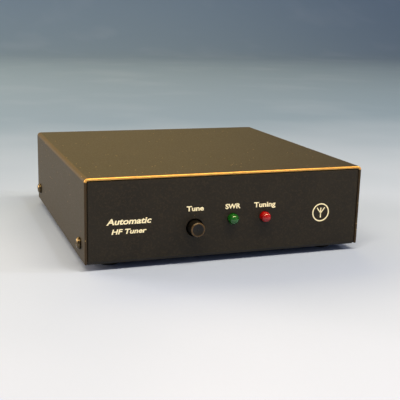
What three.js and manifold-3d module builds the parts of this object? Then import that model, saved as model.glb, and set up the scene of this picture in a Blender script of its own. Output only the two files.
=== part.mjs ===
// Automatic antenna tuner: a two-piece sheet-metal case with a tune button and two
// lamps on the front, two coaxial sockets, a ground terminal, a power jack and a
// control jack on the back, and the tuner board inside.
//
// Millimetres, +Z up. The front faces -Y and +X is to the right seen from the front.
// The origin is the centre of the whole object's footprint, on the surface it stands on.

import * as THREE from "three";
import { mergeVertices } from "three/addons/utils/BufferGeometryUtils.js";
import Module from "manifold-3d";

const wasm = await Module();
wasm.setup();

// ---------------------------------------------------------------- driving dimensions

// Case
const CASE_WIDTH = 139.7;
const CASE_DEPTH = 139.7;
const CASE_HEIGHT = 40.4; // underside of the chassis to the top of the cover
const SHEET = 1.27;
const BEND_INSIDE = 0.63; // inside radius of every bend
const BEND_STEPS = 4;
const COVER_LIFT = 0.45; // the cover's side edges end this far above the underside
const COVER_GAP = 0.15; // between the cover's walls and the chassis
const PANEL_RECESS = 0.3; // front and rear panels sit back from the cover's edges
const SIDE_FLANGE_RISE = 12.6;
const CORNER_RELIEF = 1.6; // gap between a side flange and the panel beside it
const SEAT_GAP = 0.02; // between faces that rest on each other

// Cover screws, number 4 pan head
const SCREW_HEAD_DIAMETER = 5.6;
const SCREW_HEAD_HEIGHT = 2.0;
const SCREW_SHANK_DIAMETER = 2.8;
const SCREW_LENGTH = 4.7;
const SCREW_CLEARANCE = 0.12; // radial, in the holes it passes through
const COVER_SCREW_INSET = 10.4; // from the case's front or back edge
const COVER_SCREW_UP = 8.2; // above the underside
const RECESS_WIDTH = 0.85;
const RECESS_SPAN = 2.9;
const RECESS_DEPTH = 1.1;
const SCREW_RIM_SHARE = 0.45; // of the head's height, where its straight side ends
const SCREW_CROWN_FLAT = 0.35; // of the head's radius, across the flat of its crown
const SCREW_CROWN_STEPS = 3;
const SCREW_TIP_CHAMFER = 0.3;

// Rubber feet
const FOOT_HEIGHT = 3.0;
const FOOT_TOP_DIAMETER = 12.7;
const FOOT_BOTTOM_DIAMETER = 11.2;
const FOOT_INSET = 14.0; // centre of a foot from the case's edges
const FOOT_CHAMFER = 0.4;

// Board and standoffs
const BOARD_THICKNESS = 1.6;
const STANDOFF_HEIGHT = 6.0;
const STANDOFF_ACROSS_FLATS = 5.5;
const BOARD_SCREW_SHANK_DIAMETER = 2.8;
const BOARD_SCREW_LENGTH = 6.0;
const BOARD_SIDE_GAP = 1.0; // between the board's edge and a cover screw's tip
const BOARD_FRONT_GAP = 1.6;
const BOARD_REAR_GAP = 4.4; // room for the nuts behind the rear panel
const BOARD_SCREW_INSET = 6.5; // from the board's sides and its front edge
const BOARD_REAR_SCREW_INSET = 18.0;

// Tune button and its switch
const BUTTON_X = -17.55;
const BUTTON_AXIS_UP = 5.73; // above the top of the board
const BUTTON_CAP_DIAMETER = 7.0;
const BUTTON_CAP_LENGTH = 9.0;
const BUTTON_STAND_OUT = 5.0; // in front of the panel
const BUTTON_HOLE_CLEARANCE = 0.75; // radial, around the cap in the front panel
const BUTTON_RIM = 0.7; // width of the rim around the dish in the cap's face
const BUTTON_DISH_DEPTH = 0.5;
const BUTTON_DISH_STEPS = 3;
const BUTTON_EDGE = 0.35; // how far the cap's front edge is rounded off
const BUTTON_TRAVEL = 2.5;
const PLUNGER_SIDE = 3.3;
const PLUNGER_SOCKET_DEPTH = 4.0; // how far the plunger goes into the cap
const PLUNGER_CLEARANCE = 0.15;
const SPRING_REST_LENGTH = 5.6;
const SPRING_WIRE_DIAMETER = 0.5;
const SPRING_CLEARANCE = 0.2; // between the spring and the plunger's corners
const SPRING_TURNS = 4;
const SPRING_TURN_STEPS = 12;
const SPRING_WIRE_STEPS = 3;
const SWITCH_WIDTH = 8.4;
const SWITCH_HEIGHT = 9.2;
const SWITCH_DEPTH = 12.0;
const PLUNGER_INSIDE = 4.5; // how far the plunger goes into the switch at rest
const PLUNGER_SPARE = 0.5; // room past its stroke

// Lamps, 5 mm
const LAMP_XS = { swr_lamp: 1.45, tuning_lamp: 18.05 };
const LAMP_AXIS_UP = 8.88; // above the top of the board
const LAMP_DIAMETER = 5.0;
const LAMP_LENGTH = 8.6;
const LAMP_FLANGE_RIM = 0.4; // how far the flange stands out around the lens
const LAMP_FLANGE_THICKNESS = 1.0;
const LAMP_STAND_OUT = 3.9;
const LAMP_HOLE_CLEARANCE = 0.12;
const LAMP_DOME_STEPS = 5;
const LAMP_HOLDER_MARGIN = 0.2; // how far the holder stands out around the flange
const LAMP_HOLDER_DEPTH = 5.0;

// Coaxial sockets
const SOCKET_XS = { antenna_socket: -38.0, transmitter_socket: 6.0 };
const SOCKET_FLANGE_SIDE = 25.4;
const SOCKET_FLANGE_THICKNESS = 1.6;
const SOCKET_BARREL_DIAMETER = 15.8;
const SOCKET_BARREL_LENGTH = 14.0;
const SOCKET_MOUTH_CHAMFER = 0.8;
const SOCKET_BORE_DIAMETER = 12.1;
const SOCKET_BORE_DEPTH = 10.5;
const SOCKET_REAR_DIAMETER = 12.6;
const SOCKET_REAR_LENGTH = 6.0; // behind the flange
const SOCKET_REAR_WALL = 1.6;
const SOCKET_CONTACT_DIAMETER = 5.6;
const SOCKET_CONTACT_BORE = 4.1;
const SOCKET_CONTACT_BORE_DEPTH = 9.0;
const SOCKET_CONTACT_SETBACK = 1.5; // behind the barrel's mouth
const SOCKET_TAIL_LENGTH = 5.5; // solder tail behind the insulator
const SOCKET_TAIL_DIAMETER = 3.6;
const SOCKET_SCREW_INSET = 3.55; // from the flange's edges
const SOCKET_SCREW_LENGTH = 5.0;
const SOCKET_INSULATOR_CLEARANCE = 0.05;
const SOCKET_HOLE_CLEARANCE = 0.3;

// Ground terminal
const GROUND_X = -16.0;
const GROUND_STUD_DIAMETER = 4.1;
const GROUND_STUD_REACH = 17.0; // outside the rear panel
const GROUND_STUD_HEAD_DIAMETER = 8.0;
const GROUND_STUD_HEAD_THICKNESS = 2.4;
const GROUND_NUT_ACROSS_FLATS = 8.7;
const GROUND_NUT_THICKNESS = 3.0;
const GROUND_WASHER_DIAMETER = 9.5;
const GROUND_WASHER_THICKNESS = 1.0;
const GROUND_CLEARANCE = 0.15; // radial, around the stud
const WING_HUB_DIAMETER = 8.0;
const WING_HUB_HEIGHT = 5.0;
const WING_SPAN = 19.5;
const WING_THICKNESS = 1.8;
const WING_REACH = 9.6; // from the hub's seat to the tips of the wings
const WING_ROOT_UP = 0.8; // where a wing leaves the hub, above the seat
const WING_SWEEP_IN = 1.0; // the control point of the lower edge's curve, in from the tip
const WING_SWEEP_UP = 2.2;
const WING_TIP_DROP = 3.2; // where the rounded tip starts, below the wing's top
const WING_TIP_IN = 2.6; // where it ends, in from the span
const WING_ROOT_EASE = 0.6; // the curve of a wing's top down to the hub
const WING_HUB_TAPER = 0.86; // the hub's top as a share of its foot
const WING_CURVE_STEPS = 4;

// Power and control jacks
const POWER_JACK_X = 46.5;
const POWER_JACK_SIDE = 9.0;
const POWER_JACK_LENGTH = 14.0;
const POWER_JACK_AXIS_UP = 6.5; // above the top of the board
const POWER_JACK_HEIGHT = 11.0;
const POWER_JACK_BORE = 5.8;
const POWER_JACK_BORE_DEPTH = 9.5;
const POWER_JACK_PIN_DIAMETER = 2.1;
const POWER_JACK_PIN_ROOT = 1.5; // how far the pin is sunk in the housing
const POWER_JACK_PIN_REACH = 9.0; // how far it stands out of the bore's floor
const POWER_JACK_HOLE_DIAMETER = 8.6;
const CONTROL_JACK_X = 30.5;
const CONTROL_JACK_WIDTH = 11.0;
const CONTROL_JACK_HEIGHT = 10.0;
const CONTROL_JACK_DEPTH = 12.0;
const CONTROL_JACK_AXIS_UP = 6.5;
const CONTROL_JACK_BUSH_DIAMETER = 6.0;
const CONTROL_JACK_BUSH_REACH = 2.9; // outside the rear panel
const CONTROL_JACK_BORE = 3.6;
const CONTROL_JACK_BACK_WALL = 1.5;
const CONTROL_NUT_WALL = 1.0;
const CONTROL_NUT_THICKNESS = 1.9;
const CONTROL_NUT_CLEARANCE = 0.05; // radial, around the bush
const JACK_CLEARANCE = 0.25; // between a jack and the rear panel

// Relays, chips, inductors
const RELAY_COUNT = 8;
const RELAY_PITCH = 11.0;
const RELAY_GROOVE = 1.0;
const RELAY_LENGTH = 20.2;
const RELAY_HEIGHT = 10.6;
const RELAY_WEB = 1.2; // what joins neighbouring relays, at the board
const RELAY_BANK_YS = { capacitor_relays: -25.0, inductor_relays: 9.0 };
const INDUCTOR_COUNT = 7;
const INDUCTOR_PITCH = 16.4;
const INDUCTOR_OUTER_DIAMETER = 19.0;
const INDUCTOR_INNER_DIAMETER = 8.0;
const INDUCTOR_WIDTH = 7.4;
const INDUCTOR_Y = 32.5;
const COUPLER_X = 44.0;
const COUPLER_Y = -48.0;
const COUPLER_OUTER_DIAMETER = 14.0;
const COUPLER_INNER_DIAMETER = 6.6;
const COUPLER_WIDTH = 7.0;
const RING_CHAMFER = 1.2; // on the edges of a wound ring
const CHIP_X = -38.0;
const CHIP_Y = -50.0;
const CHIP_LENGTH = 26.0;
const CHIP_WIDTH = 7.4;
const CHIP_THICKNESS = 3.4;
const CHIP_STAND = 0.5; // the chip's body above the board

// ---------------------------------------------------------------- derived places

const HALF_WIDTH = CASE_WIDTH / 2;
const HALF_DEPTH = CASE_DEPTH / 2;
const BEND_OUTSIDE = BEND_INSIDE + SHEET;
const PANEL_FACE = HALF_DEPTH - PANEL_RECESS; // outer face of the front and rear panels
const PANEL_BACK = PANEL_FACE - SHEET;
const PANEL_HALF_WIDTH = HALF_WIDTH - SHEET - COVER_GAP;
const PANEL_TOP = CASE_HEIGHT - SHEET - COVER_GAP;
const BOARD_BOTTOM = SHEET + SEAT_GAP + STANDOFF_HEIGHT + SEAT_GAP;
const BOARD_TOP = BOARD_BOTTOM + BOARD_THICKNESS;
const ON_BOARD = BOARD_TOP + SEAT_GAP;
const BOARD_HALF_WIDTH = HALF_WIDTH - SCREW_LENGTH - BOARD_SIDE_GAP;
const BOARD_FRONT = -(PANEL_BACK - BOARD_FRONT_GAP);
const BOARD_REAR = PANEL_BACK - BOARD_REAR_GAP;
const BUTTON_UP = BOARD_TOP + BUTTON_AXIS_UP;
const LAMP_UP = BOARD_TOP + LAMP_AXIS_UP;
const POWER_JACK_UP = BOARD_TOP + POWER_JACK_AXIS_UP;
const CONTROL_JACK_UP = BOARD_TOP + CONTROL_JACK_AXIS_UP;
const REAR_ROW_UP = (SHEET + PANEL_TOP) / 2; // the sockets and the ground stud, half-way up
const INSULATOR_RADIUS = SOCKET_REAR_DIAMETER / 2 - SOCKET_REAR_WALL;
const SOCKET_REACH = SEAT_GAP + SOCKET_FLANGE_THICKNESS + SOCKET_BARREL_LENGTH;
const COVER_SCREW_HOLE = SCREW_SHANK_DIAMETER / 2 + SCREW_CLEARANCE;

// The case stands on its feet, and the footprint's centre is the origin.
const FRONT_REACH = Math.max(BUTTON_STAND_OUT, LAMP_STAND_OUT) - PANEL_RECESS;
const REAR_REACH = Math.max(SOCKET_REACH, GROUND_STUD_REACH) - PANEL_RECESS;
const CASE_Y = (FRONT_REACH - REAR_REACH) / 2;
const CASE_Z = FOOT_HEIGHT + SEAT_GAP;

const SMALL_ROUND = 20;
const LARGE_ROUND = 30;
const SCREW_ROUND = 14;
const OVERSHOOT = 1; // how far a cutter runs past what it cuts
const JOIN_OVERLAP = 0.1; // how far joined shapes run into each other
const MERGE_DISTANCE = 1e-4; // points closer than this are one point

// ---------------------------------------------------------------- shape helpers

// A closed geometry as a manifold-3d solid.
function solidOf(geometry) {
  const bare = geometry.clone();
  bare.deleteAttribute("normal");
  bare.deleteAttribute("uv");
  const merged = mergeVertices(bare, MERGE_DISTANCE);
  return new wasm.Manifold(
    new wasm.Mesh({
      numProp: 3,
      vertProperties: merged.attributes.position.array,
      triVerts: new Uint32Array(merged.index.array),
    }),
  );
}

// A manifold-3d solid as a geometry that three.js can draw.
function geometryOf(solid) {
  const mesh = solid.getMesh();
  const geometry = new THREE.BufferGeometry();
  geometry.setAttribute("position", new THREE.BufferAttribute(mesh.vertProperties, 3));
  geometry.setIndex(new THREE.BufferAttribute(mesh.triVerts, 1));
  const flat = geometry.toNonIndexed();
  flat.computeVertexNormals();
  return flat;
}

// A box from its lowest corner to its highest.
function block(low, high) {
  const size = high.map((value, i) => value - low[i]);
  const middle = high.map((value, i) => (value + low[i]) / 2);
  return new THREE.BoxGeometry(...size).translate(...middle);
}

// A solid of revolution about Y through the origin; the profile holds [radius, y] pairs
// and runs upwards, starting and ending on the axis.
function turned(profile, segments = SMALL_ROUND) {
  return new THREE.LatheGeometry(
    profile.map(([radius, y]) => new THREE.Vector2(radius, y)),
    segments,
  );
}

// A rod along Y from one y to another, centred on x and z.
function rod(radius, from, to, x = 0, z = 0, segments = SMALL_ROUND) {
  return new THREE.CylinderGeometry(radius, radius, to - from, segments)
    .translate(0, (from + to) / 2, 0)
    .translate(x, 0, z);
}

// A hexagonal bar along Y.
function hexBar(acrossFlats, from, to) {
  const radius = acrossFlats / 2 / Math.cos(Math.PI / 6);
  return rod(radius, from, to, 0, 0, 6);
}

// The first geometry less all the others.
function cut(body, ...tools) {
  return geometryOf(tools.reduce((left, tool) => left.subtract(solidOf(tool)), solidOf(body)));
}

// All the geometries joined into one.
function join(first, ...others) {
  return geometryOf(others.reduce((sum, other) => sum.add(solidOf(other)), solidOf(first)));
}

// A strip of sheet that follows a path of straight runs with a bend at each corner.
// The path is the sheet's outside line in (u, v), and turns left at each corner when
// side is 1. Returns a Shape of the sheet's section.
function bentSection(path, side) {
  const outline = new THREE.Shape();
  const inner = [];
  path.forEach((point, i) => {
    const here = new THREE.Vector2(...point);
    const before = i > 0 ? new THREE.Vector2(...path[i - 1]) : null;
    const after = i < path.length - 1 ? new THREE.Vector2(...path[i + 1]) : null;
    const runIn = (before ? here.clone().sub(before) : after.clone().sub(here)).normalize();
    const runOut = (after ? after.clone().sub(here) : here.clone().sub(before)).normalize();
    const inward = new THREE.Vector2(-runIn.y, runIn.x).multiplyScalar(side);
    const inwardOut = new THREE.Vector2(-runOut.y, runOut.x).multiplyScalar(side);
    if (!before || !after) {
      if (i === 0) outline.moveTo(here.x, here.y);
      else outline.lineTo(here.x, here.y);
      inner.unshift(here.clone().addScaledVector(inward, SHEET));
      return;
    }
    const centre = here
      .clone()
      .addScaledVector(runIn, -BEND_OUTSIDE)
      .addScaledVector(inward, BEND_OUTSIDE);
    for (let step = 0; step <= BEND_STEPS; step++) {
      const angle = (Math.PI / 2) * (step / BEND_STEPS);
      const ray = inward.clone().multiplyScalar(-Math.cos(angle));
      ray.addScaledVector(inwardOut, -Math.sin(angle));
      const outer = centre.clone().addScaledVector(ray, BEND_OUTSIDE);
      outline.lineTo(outer.x, outer.y);
      inner.unshift(centre.clone().addScaledVector(ray, BEND_INSIDE));
    }
  });
  inner.forEach((point) => outline.lineTo(point.x, point.y));
  outline.closePath();
  return outline;
}

// Extrudes a shape drawn in (X, Z) along +Y, from one y to another.
function alongY(shape, from, to) {
  return new THREE.ExtrudeGeometry(shape, { depth: to - from, bevelEnabled: false })
    .rotateX(Math.PI / 2)
    .translate(0, to, 0);
}

// Extrudes a shape drawn in (Y, Z) along +X, from one x to another.
function alongX(shape, from, to) {
  return new THREE.ExtrudeGeometry(shape, { depth: to - from, bevelEnabled: false })
    .rotateX(Math.PI / 2)
    .rotateZ(Math.PI / 2)
    .translate(from, 0, 0);
}

// ---------------------------------------------------------------- finishes

function finish(color, roughness, metalness = 0) {
  return new THREE.MeshStandardMaterial({ color, roughness, metalness });
}

const FINISHES = {
  powder: finish(0x1c1a17, 0.55),
  blackScrew: finish(0x1f1c18, 0.35, 0.8),
  rubber: finish(0x141414, 0.9),
  blackPlastic: finish(0x151515, 0.45),
  nickel: finish(0xc9c7c0, 0.28, 1),
  brass: finish(0xb89a5a, 0.3, 1),
  zinc: finish(0xb4b4b0, 0.4, 1),
  ptfe: finish(0xe9e6dc, 0.5),
  greenLens: finish(0x1f7a2a, 0.15),
  redLens: finish(0xa81418, 0.15),
  board: finish(0x1f5a34, 0.5),
  relayCase: finish(0xdedacb, 0.45),
  ferrite: finish(0x3b3a3c, 0.7),
  copper: finish(0xa4552a, 0.35, 0.9),
  chip: finish(0x1b1b1d, 0.5),
};

const tuner = new THREE.Group();
const housing = new THREE.Group(); // origin at the centre of the chassis's underside
housing.position.set(0, CASE_Y, CASE_Z);
tuner.add(housing);

// Adds one named piece to the case, in its finish, at a place and turned as asked.
function piece(name, geometry, material, place = [0, 0, 0], turn = [0, 0, 0]) {
  const mesh = new THREE.Mesh(geometry, material);
  mesh.name = name;
  mesh.position.set(...place);
  mesh.rotation.set(...turn);
  housing.add(mesh);
  return mesh;
}

const POINT_LEFT = [0, 0, Math.PI / 2]; // +Y of the piece to -X
const POINT_RIGHT = [0, 0, -Math.PI / 2]; // +Y of the piece to +X
const POINT_UP = [Math.PI / 2, 0, 0]; // +Y of the piece to +Z

const FRONT_BACK = [
  ["front", -1],
  ["rear", 1],
];
const LEFT_RIGHT = [
  ["left", -1],
  ["right", 1],
];

// ---------------------------------------------------------------- screws

// A pan-head screw whose head stands up along +Y from y = 0 and whose shank runs down,
// with a cross recess in the head.
function panHeadScrew(shankDiameter, length) {
  const head = SCREW_HEAD_DIAMETER / 2;
  const rim = SCREW_HEAD_HEIGHT * SCREW_RIM_SHARE;
  const crown = SCREW_HEAD_HEIGHT - rim;
  const profile = [
    [0, -length],
    [shankDiameter / 2 - SCREW_TIP_CHAMFER, -length],
    [shankDiameter / 2, -length + SCREW_TIP_CHAMFER],
    [shankDiameter / 2, 0],
    [head, 0],
  ];
  for (let i = 0; i <= SCREW_CROWN_STEPS; i++) {
    const angle = (Math.PI / 2) * (i / SCREW_CROWN_STEPS);
    const spread = SCREW_CROWN_FLAT + (1 - SCREW_CROWN_FLAT) * Math.cos(angle);
    profile.push([
      i === SCREW_CROWN_STEPS ? 0 : head * spread,
      rim + crown * Math.sin(angle),
    ]);
  }
  const top = SCREW_HEAD_HEIGHT + OVERSHOOT;
  const floor = SCREW_HEAD_HEIGHT - RECESS_DEPTH;
  const long = RECESS_SPAN / 2;
  const narrow = RECESS_WIDTH / 2;
  return cut(
    turned(profile, SCREW_ROUND),
    block([-long, floor, -narrow], [long, top, narrow]),
    block([-narrow, floor, -long], [narrow, top, long]),
  );
}

// ---------------------------------------------------------------- chassis and cover

// Bottom, front panel and rear panel in one bent sheet, with a flange up each side. The
// panels' top corners are cut off to clear the inside of the cover's bends.
function chassis() {
  const panels = bentSection(
    [
      [-PANEL_FACE, PANEL_TOP],
      [-PANEL_FACE, 0],
      [PANEL_FACE, 0],
      [PANEL_FACE, PANEL_TOP],
    ],
    1,
  );
  const flangeRoot = PANEL_HALF_WIDTH - BEND_OUTSIDE;
  const flangeEnd = PANEL_BACK - BEND_INSIDE - CORNER_RELIEF;
  const sheets = [alongX(panels, -PANEL_HALF_WIDTH, PANEL_HALF_WIDTH)];
  const cutters = [];
  for (const [, side] of LEFT_RIGHT) {
    const flange = bentSection(
      [
        [side * (flangeRoot - BEND_OUTSIDE), 0],
        [side * PANEL_HALF_WIDTH, 0],
        [side * PANEL_HALF_WIDTH, SIDE_FLANGE_RISE],
      ],
      side,
    );
    sheets.push(alongY(flange, -flangeEnd, flangeEnd));
    const inner = side * (flangeRoot - JOIN_OVERLAP);
    const outer = side * (PANEL_HALF_WIDTH + OVERSHOOT);
    const reliefEnd = PANEL_BACK - BEND_INSIDE;
    const corner = new THREE.Shape([
      new THREE.Vector2(side * (PANEL_HALF_WIDTH - BEND_INSIDE), PANEL_TOP),
      new THREE.Vector2(side * PANEL_HALF_WIDTH, PANEL_TOP - BEND_INSIDE),
      new THREE.Vector2(outer, PANEL_TOP + OVERSHOOT),
    ]);
    cutters.push(
      block(
        [Math.min(inner, outer), -reliefEnd, -OVERSHOOT],
        [Math.max(inner, outer), reliefEnd, SHEET + JOIN_OVERLAP],
      ),
      alongY(corner, -HALF_DEPTH, HALF_DEPTH),
    );
  }
  const [bent, leftFlange, rightFlange] = sheets;
  const body = join(cut(bent, ...cutters), leftFlange, rightFlange);
  return cut(body, ...frontHoles(), ...rearHoles(), ...sideHoles(COVER_SCREW_HOLE));
}

// Holes in the front panel for the button and the lamps.
function frontHoles() {
  const through = [-HALF_DEPTH - OVERSHOOT, -PANEL_BACK + OVERSHOOT];
  const buttonHole = BUTTON_CAP_DIAMETER / 2 + BUTTON_HOLE_CLEARANCE;
  const lampHole = LAMP_DIAMETER / 2 + LAMP_HOLE_CLEARANCE;
  return [
    rod(buttonHole, ...through, BUTTON_X, BUTTON_UP, LARGE_ROUND),
    ...Object.values(LAMP_XS).map((x) => rod(lampHole, ...through, x, LAMP_UP)),
  ];
}

// Holes in the rear panel for the sockets, their screws, the ground stud and the jacks.
function rearHoles() {
  const through = [PANEL_BACK - OVERSHOOT, HALF_DEPTH + OVERSHOOT];
  const barrel = SOCKET_REAR_DIAMETER / 2 + SOCKET_HOLE_CLEARANCE;
  const screw = BOARD_SCREW_SHANK_DIAMETER / 2 + SCREW_CLEARANCE;
  const holes = [];
  for (const x of Object.values(SOCKET_XS)) {
    holes.push(rod(barrel, ...through, x, REAR_ROW_UP, LARGE_ROUND));
    for (const [dx, dz] of socketCorners()) {
      holes.push(rod(screw, ...through, x + dx, REAR_ROW_UP + dz, SCREW_ROUND));
    }
  }
  const stud = GROUND_STUD_DIAMETER / 2 + GROUND_CLEARANCE;
  const bush = CONTROL_JACK_BUSH_DIAMETER / 2 + JACK_CLEARANCE;
  holes.push(
    rod(stud, ...through, GROUND_X, REAR_ROW_UP),
    rod(POWER_JACK_HOLE_DIAMETER / 2, ...through, POWER_JACK_X, POWER_JACK_UP),
    rod(bush, ...through, CONTROL_JACK_X, CONTROL_JACK_UP),
  );
  return holes;
}

// Holes through both side walls for the cover screws.
function sideHoles(radius) {
  const holes = [];
  for (const [, end] of FRONT_BACK) {
    holes.push(
      rod(radius, -HALF_WIDTH - OVERSHOOT, HALF_WIDTH + OVERSHOOT)
        .rotateZ(Math.PI / 2)
        .translate(0, end * (HALF_DEPTH - COVER_SCREW_INSET), COVER_SCREW_UP),
    );
  }
  return holes;
}

// Top and both sides in one bent sheet.
function cover() {
  const section = bentSection(
    [
      [HALF_WIDTH, COVER_LIFT],
      [HALF_WIDTH, CASE_HEIGHT],
      [-HALF_WIDTH, CASE_HEIGHT],
      [-HALF_WIDTH, COVER_LIFT],
    ],
    1,
  );
  return cut(alongY(section, -HALF_DEPTH, HALF_DEPTH), ...sideHoles(COVER_SCREW_HOLE));
}

function addCase() {
  piece("base_chassis", chassis(), FINISHES.powder);
  piece("top_cover", cover(), FINISHES.powder);
  const screw = panHeadScrew(SCREW_SHANK_DIAMETER, SCREW_LENGTH);
  const foot = turned([
    [0, -FOOT_HEIGHT],
    [FOOT_BOTTOM_DIAMETER / 2 - FOOT_CHAMFER, -FOOT_HEIGHT],
    [FOOT_BOTTOM_DIAMETER / 2, -FOOT_HEIGHT + FOOT_CHAMFER],
    [FOOT_TOP_DIAMETER / 2, 0],
    [0, 0],
  ]);
  for (const [end, endSign] of FRONT_BACK) {
    for (const [hand, handSign] of LEFT_RIGHT) {
      piece(
        `cover_screw_${end}_${hand}`,
        screw,
        FINISHES.blackScrew,
        [
          handSign * (HALF_WIDTH + SEAT_GAP),
          endSign * (HALF_DEPTH - COVER_SCREW_INSET),
          COVER_SCREW_UP,
        ],
        handSign < 0 ? POINT_LEFT : POINT_RIGHT,
      );
      piece(
        `foot_${end}_${hand}`,
        foot,
        FINISHES.rubber,
        [handSign * (HALF_WIDTH - FOOT_INSET), endSign * (HALF_DEPTH - FOOT_INSET), -SEAT_GAP],
        POINT_UP,
      );
    }
  }
}

// ---------------------------------------------------------------- board and standoffs

// The four board corners where it is screwed down.
function boardCorners() {
  const x = BOARD_HALF_WIDTH - BOARD_SCREW_INSET;
  return [
    ["front_left", -x, BOARD_FRONT + BOARD_SCREW_INSET],
    ["front_right", x, BOARD_FRONT + BOARD_SCREW_INSET],
    ["rear_left", -x, BOARD_REAR - BOARD_REAR_SCREW_INSET],
    ["rear_right", x, BOARD_REAR - BOARD_REAR_SCREW_INSET],
  ];
}

function addBoard() {
  const holeRadius = BOARD_SCREW_SHANK_DIAMETER / 2 + SCREW_CLEARANCE;
  const holes = boardCorners().map(([, x, y]) =>
    rod(holeRadius, -OVERSHOOT, BOARD_THICKNESS + OVERSHOOT, 0, 0, SCREW_ROUND)
      .rotateX(Math.PI / 2)
      .translate(x, y, 0),
  );
  const sheet = block(
    [-BOARD_HALF_WIDTH, BOARD_FRONT, 0],
    [BOARD_HALF_WIDTH, BOARD_REAR, BOARD_THICKNESS],
  );
  piece("main_board", cut(sheet, ...holes), FINISHES.board, [0, 0, BOARD_BOTTOM]);
  const standoff = cut(
    hexBar(STANDOFF_ACROSS_FLATS, 0, STANDOFF_HEIGHT),
    rod(holeRadius, -OVERSHOOT, STANDOFF_HEIGHT + OVERSHOOT, 0, 0, SCREW_ROUND),
  );
  const screw = panHeadScrew(BOARD_SCREW_SHANK_DIAMETER, BOARD_SCREW_LENGTH);
  for (const [corner, x, y] of boardCorners()) {
    piece(
      `standoff_${corner}`,
      standoff,
      FINISHES.zinc,
      [x, y, SHEET + SEAT_GAP],
      POINT_UP,
    );
    piece(`board_screw_${corner}`, screw, FINISHES.zinc, [x, y, ON_BOARD], POINT_UP);
  }
}

// ---------------------------------------------------------------- tune button

// The button cap: a round cap with a shallow dish in its face and a square socket behind.
function buttonCap() {
  const radius = BUTTON_CAP_DIAMETER / 2;
  const dish = radius - BUTTON_RIM;
  const profile = [];
  for (let i = 0; i <= BUTTON_DISH_STEPS; i++) {
    const out = i / BUTTON_DISH_STEPS;
    profile.push([dish * out, BUTTON_DISH_DEPTH * (1 - out * out)]);
  }
  profile.push(
    [radius - BUTTON_EDGE, 0],
    [radius, BUTTON_EDGE],
    [radius, BUTTON_CAP_LENGTH],
    [0, BUTTON_CAP_LENGTH],
  );
  const body = turned(profile, LARGE_ROUND);
  const half = PLUNGER_SIDE / 2 + PLUNGER_CLEARANCE;
  return cut(
    body,
    block(
      [-half, BUTTON_CAP_LENGTH - PLUNGER_SOCKET_DEPTH, -half],
      [half, BUTTON_CAP_LENGTH + OVERSHOOT, half],
    ),
  );
}

// A helical spring along +Y that starts at y = 0.
function coilSpring(length, meanDiameter, wireDiameter, turns) {
  const points = [];
  const steps = turns * SPRING_TURN_STEPS;
  const rise = length - wireDiameter;
  for (let i = 0; i <= steps; i++) {
    const angle = (i / SPRING_TURN_STEPS) * 2 * Math.PI;
    const y = wireDiameter / 2 + (rise * i) / steps;
    points.push(
      new THREE.Vector3(
        (meanDiameter / 2) * Math.cos(angle),
        y,
        (meanDiameter / 2) * Math.sin(angle),
      ),
    );
  }
  const wire = new THREE.Shape().absarc(0, 0, wireDiameter / 2, 0, 2 * Math.PI);
  return new THREE.ExtrudeGeometry(wire, {
    extrudePath: new THREE.CatmullRomCurve3(points),
    steps,
    curveSegments: SPRING_WIRE_STEPS,
    bevelEnabled: false,
  });
}

function addTuneButton() {
  const face = -(PANEL_FACE + BUTTON_STAND_OUT);
  const capRear = face + BUTTON_CAP_LENGTH;
  const switchFront = capRear + SPRING_REST_LENGTH + 2 * SEAT_GAP;
  const half = PLUNGER_SIDE / 2;
  const plungerDiagonal = Math.hypot(PLUNGER_SIDE, PLUNGER_SIDE);
  const springMean = plungerDiagonal + 2 * SPRING_CLEARANCE + SPRING_WIRE_DIAMETER;
  piece("tune_button_cap", buttonCap(), FINISHES.blackPlastic, [BUTTON_X, face, BUTTON_UP]);

  // The plunger runs from inside the cap to inside the switch, with its stroke to spare.
  const plungerFront = capRear - PLUNGER_SOCKET_DEPTH + SEAT_GAP;
  const plungerRear = switchFront + PLUNGER_INSIDE;
  piece(
    "tune_switch_plunger",
    block([-half, 0, -half], [half, plungerRear - plungerFront, half]),
    FINISHES.ptfe,
    [BUTTON_X, plungerFront, BUTTON_UP],
  );
  piece(
    "tune_switch_spring",
    coilSpring(SPRING_REST_LENGTH, springMean, SPRING_WIRE_DIAMETER, SPRING_TURNS),
    FINISHES.zinc,
    [BUTTON_X, capRear + SEAT_GAP, BUTTON_UP],
  );
  const slot = half + PLUNGER_CLEARANCE;
  const body = block(
    [-SWITCH_WIDTH / 2, 0, ON_BOARD],
    [SWITCH_WIDTH / 2, SWITCH_DEPTH, ON_BOARD + SWITCH_HEIGHT],
  );
  const bore = block(
    [-slot, -OVERSHOOT, BUTTON_UP - slot],
    [slot, PLUNGER_INSIDE + BUTTON_TRAVEL + PLUNGER_SPARE, BUTTON_UP + slot],
  );
  piece("tune_switch_housing", cut(body, bore), FINISHES.blackPlastic, [
    BUTTON_X,
    switchFront,
    0,
  ]);
}

// ---------------------------------------------------------------- lamps

// A round lamp with its dome at y = 0 and its flange at the far end.
function lamp() {
  const radius = LAMP_DIAMETER / 2;
  const profile = [];
  for (let i = 0; i <= LAMP_DOME_STEPS; i++) {
    const angle = (Math.PI / 2) * (i / LAMP_DOME_STEPS);
    profile.push([i === 0 ? 0 : radius * Math.sin(angle), radius * (1 - Math.cos(angle))]);
  }
  const flange = LAMP_LENGTH - LAMP_FLANGE_THICKNESS;
  profile.push(
    [radius, flange],
    [radius + LAMP_FLANGE_RIM, flange],
    [radius + LAMP_FLANGE_RIM, LAMP_LENGTH],
    [0, LAMP_LENGTH],
  );
  return turned(profile);
}

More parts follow.
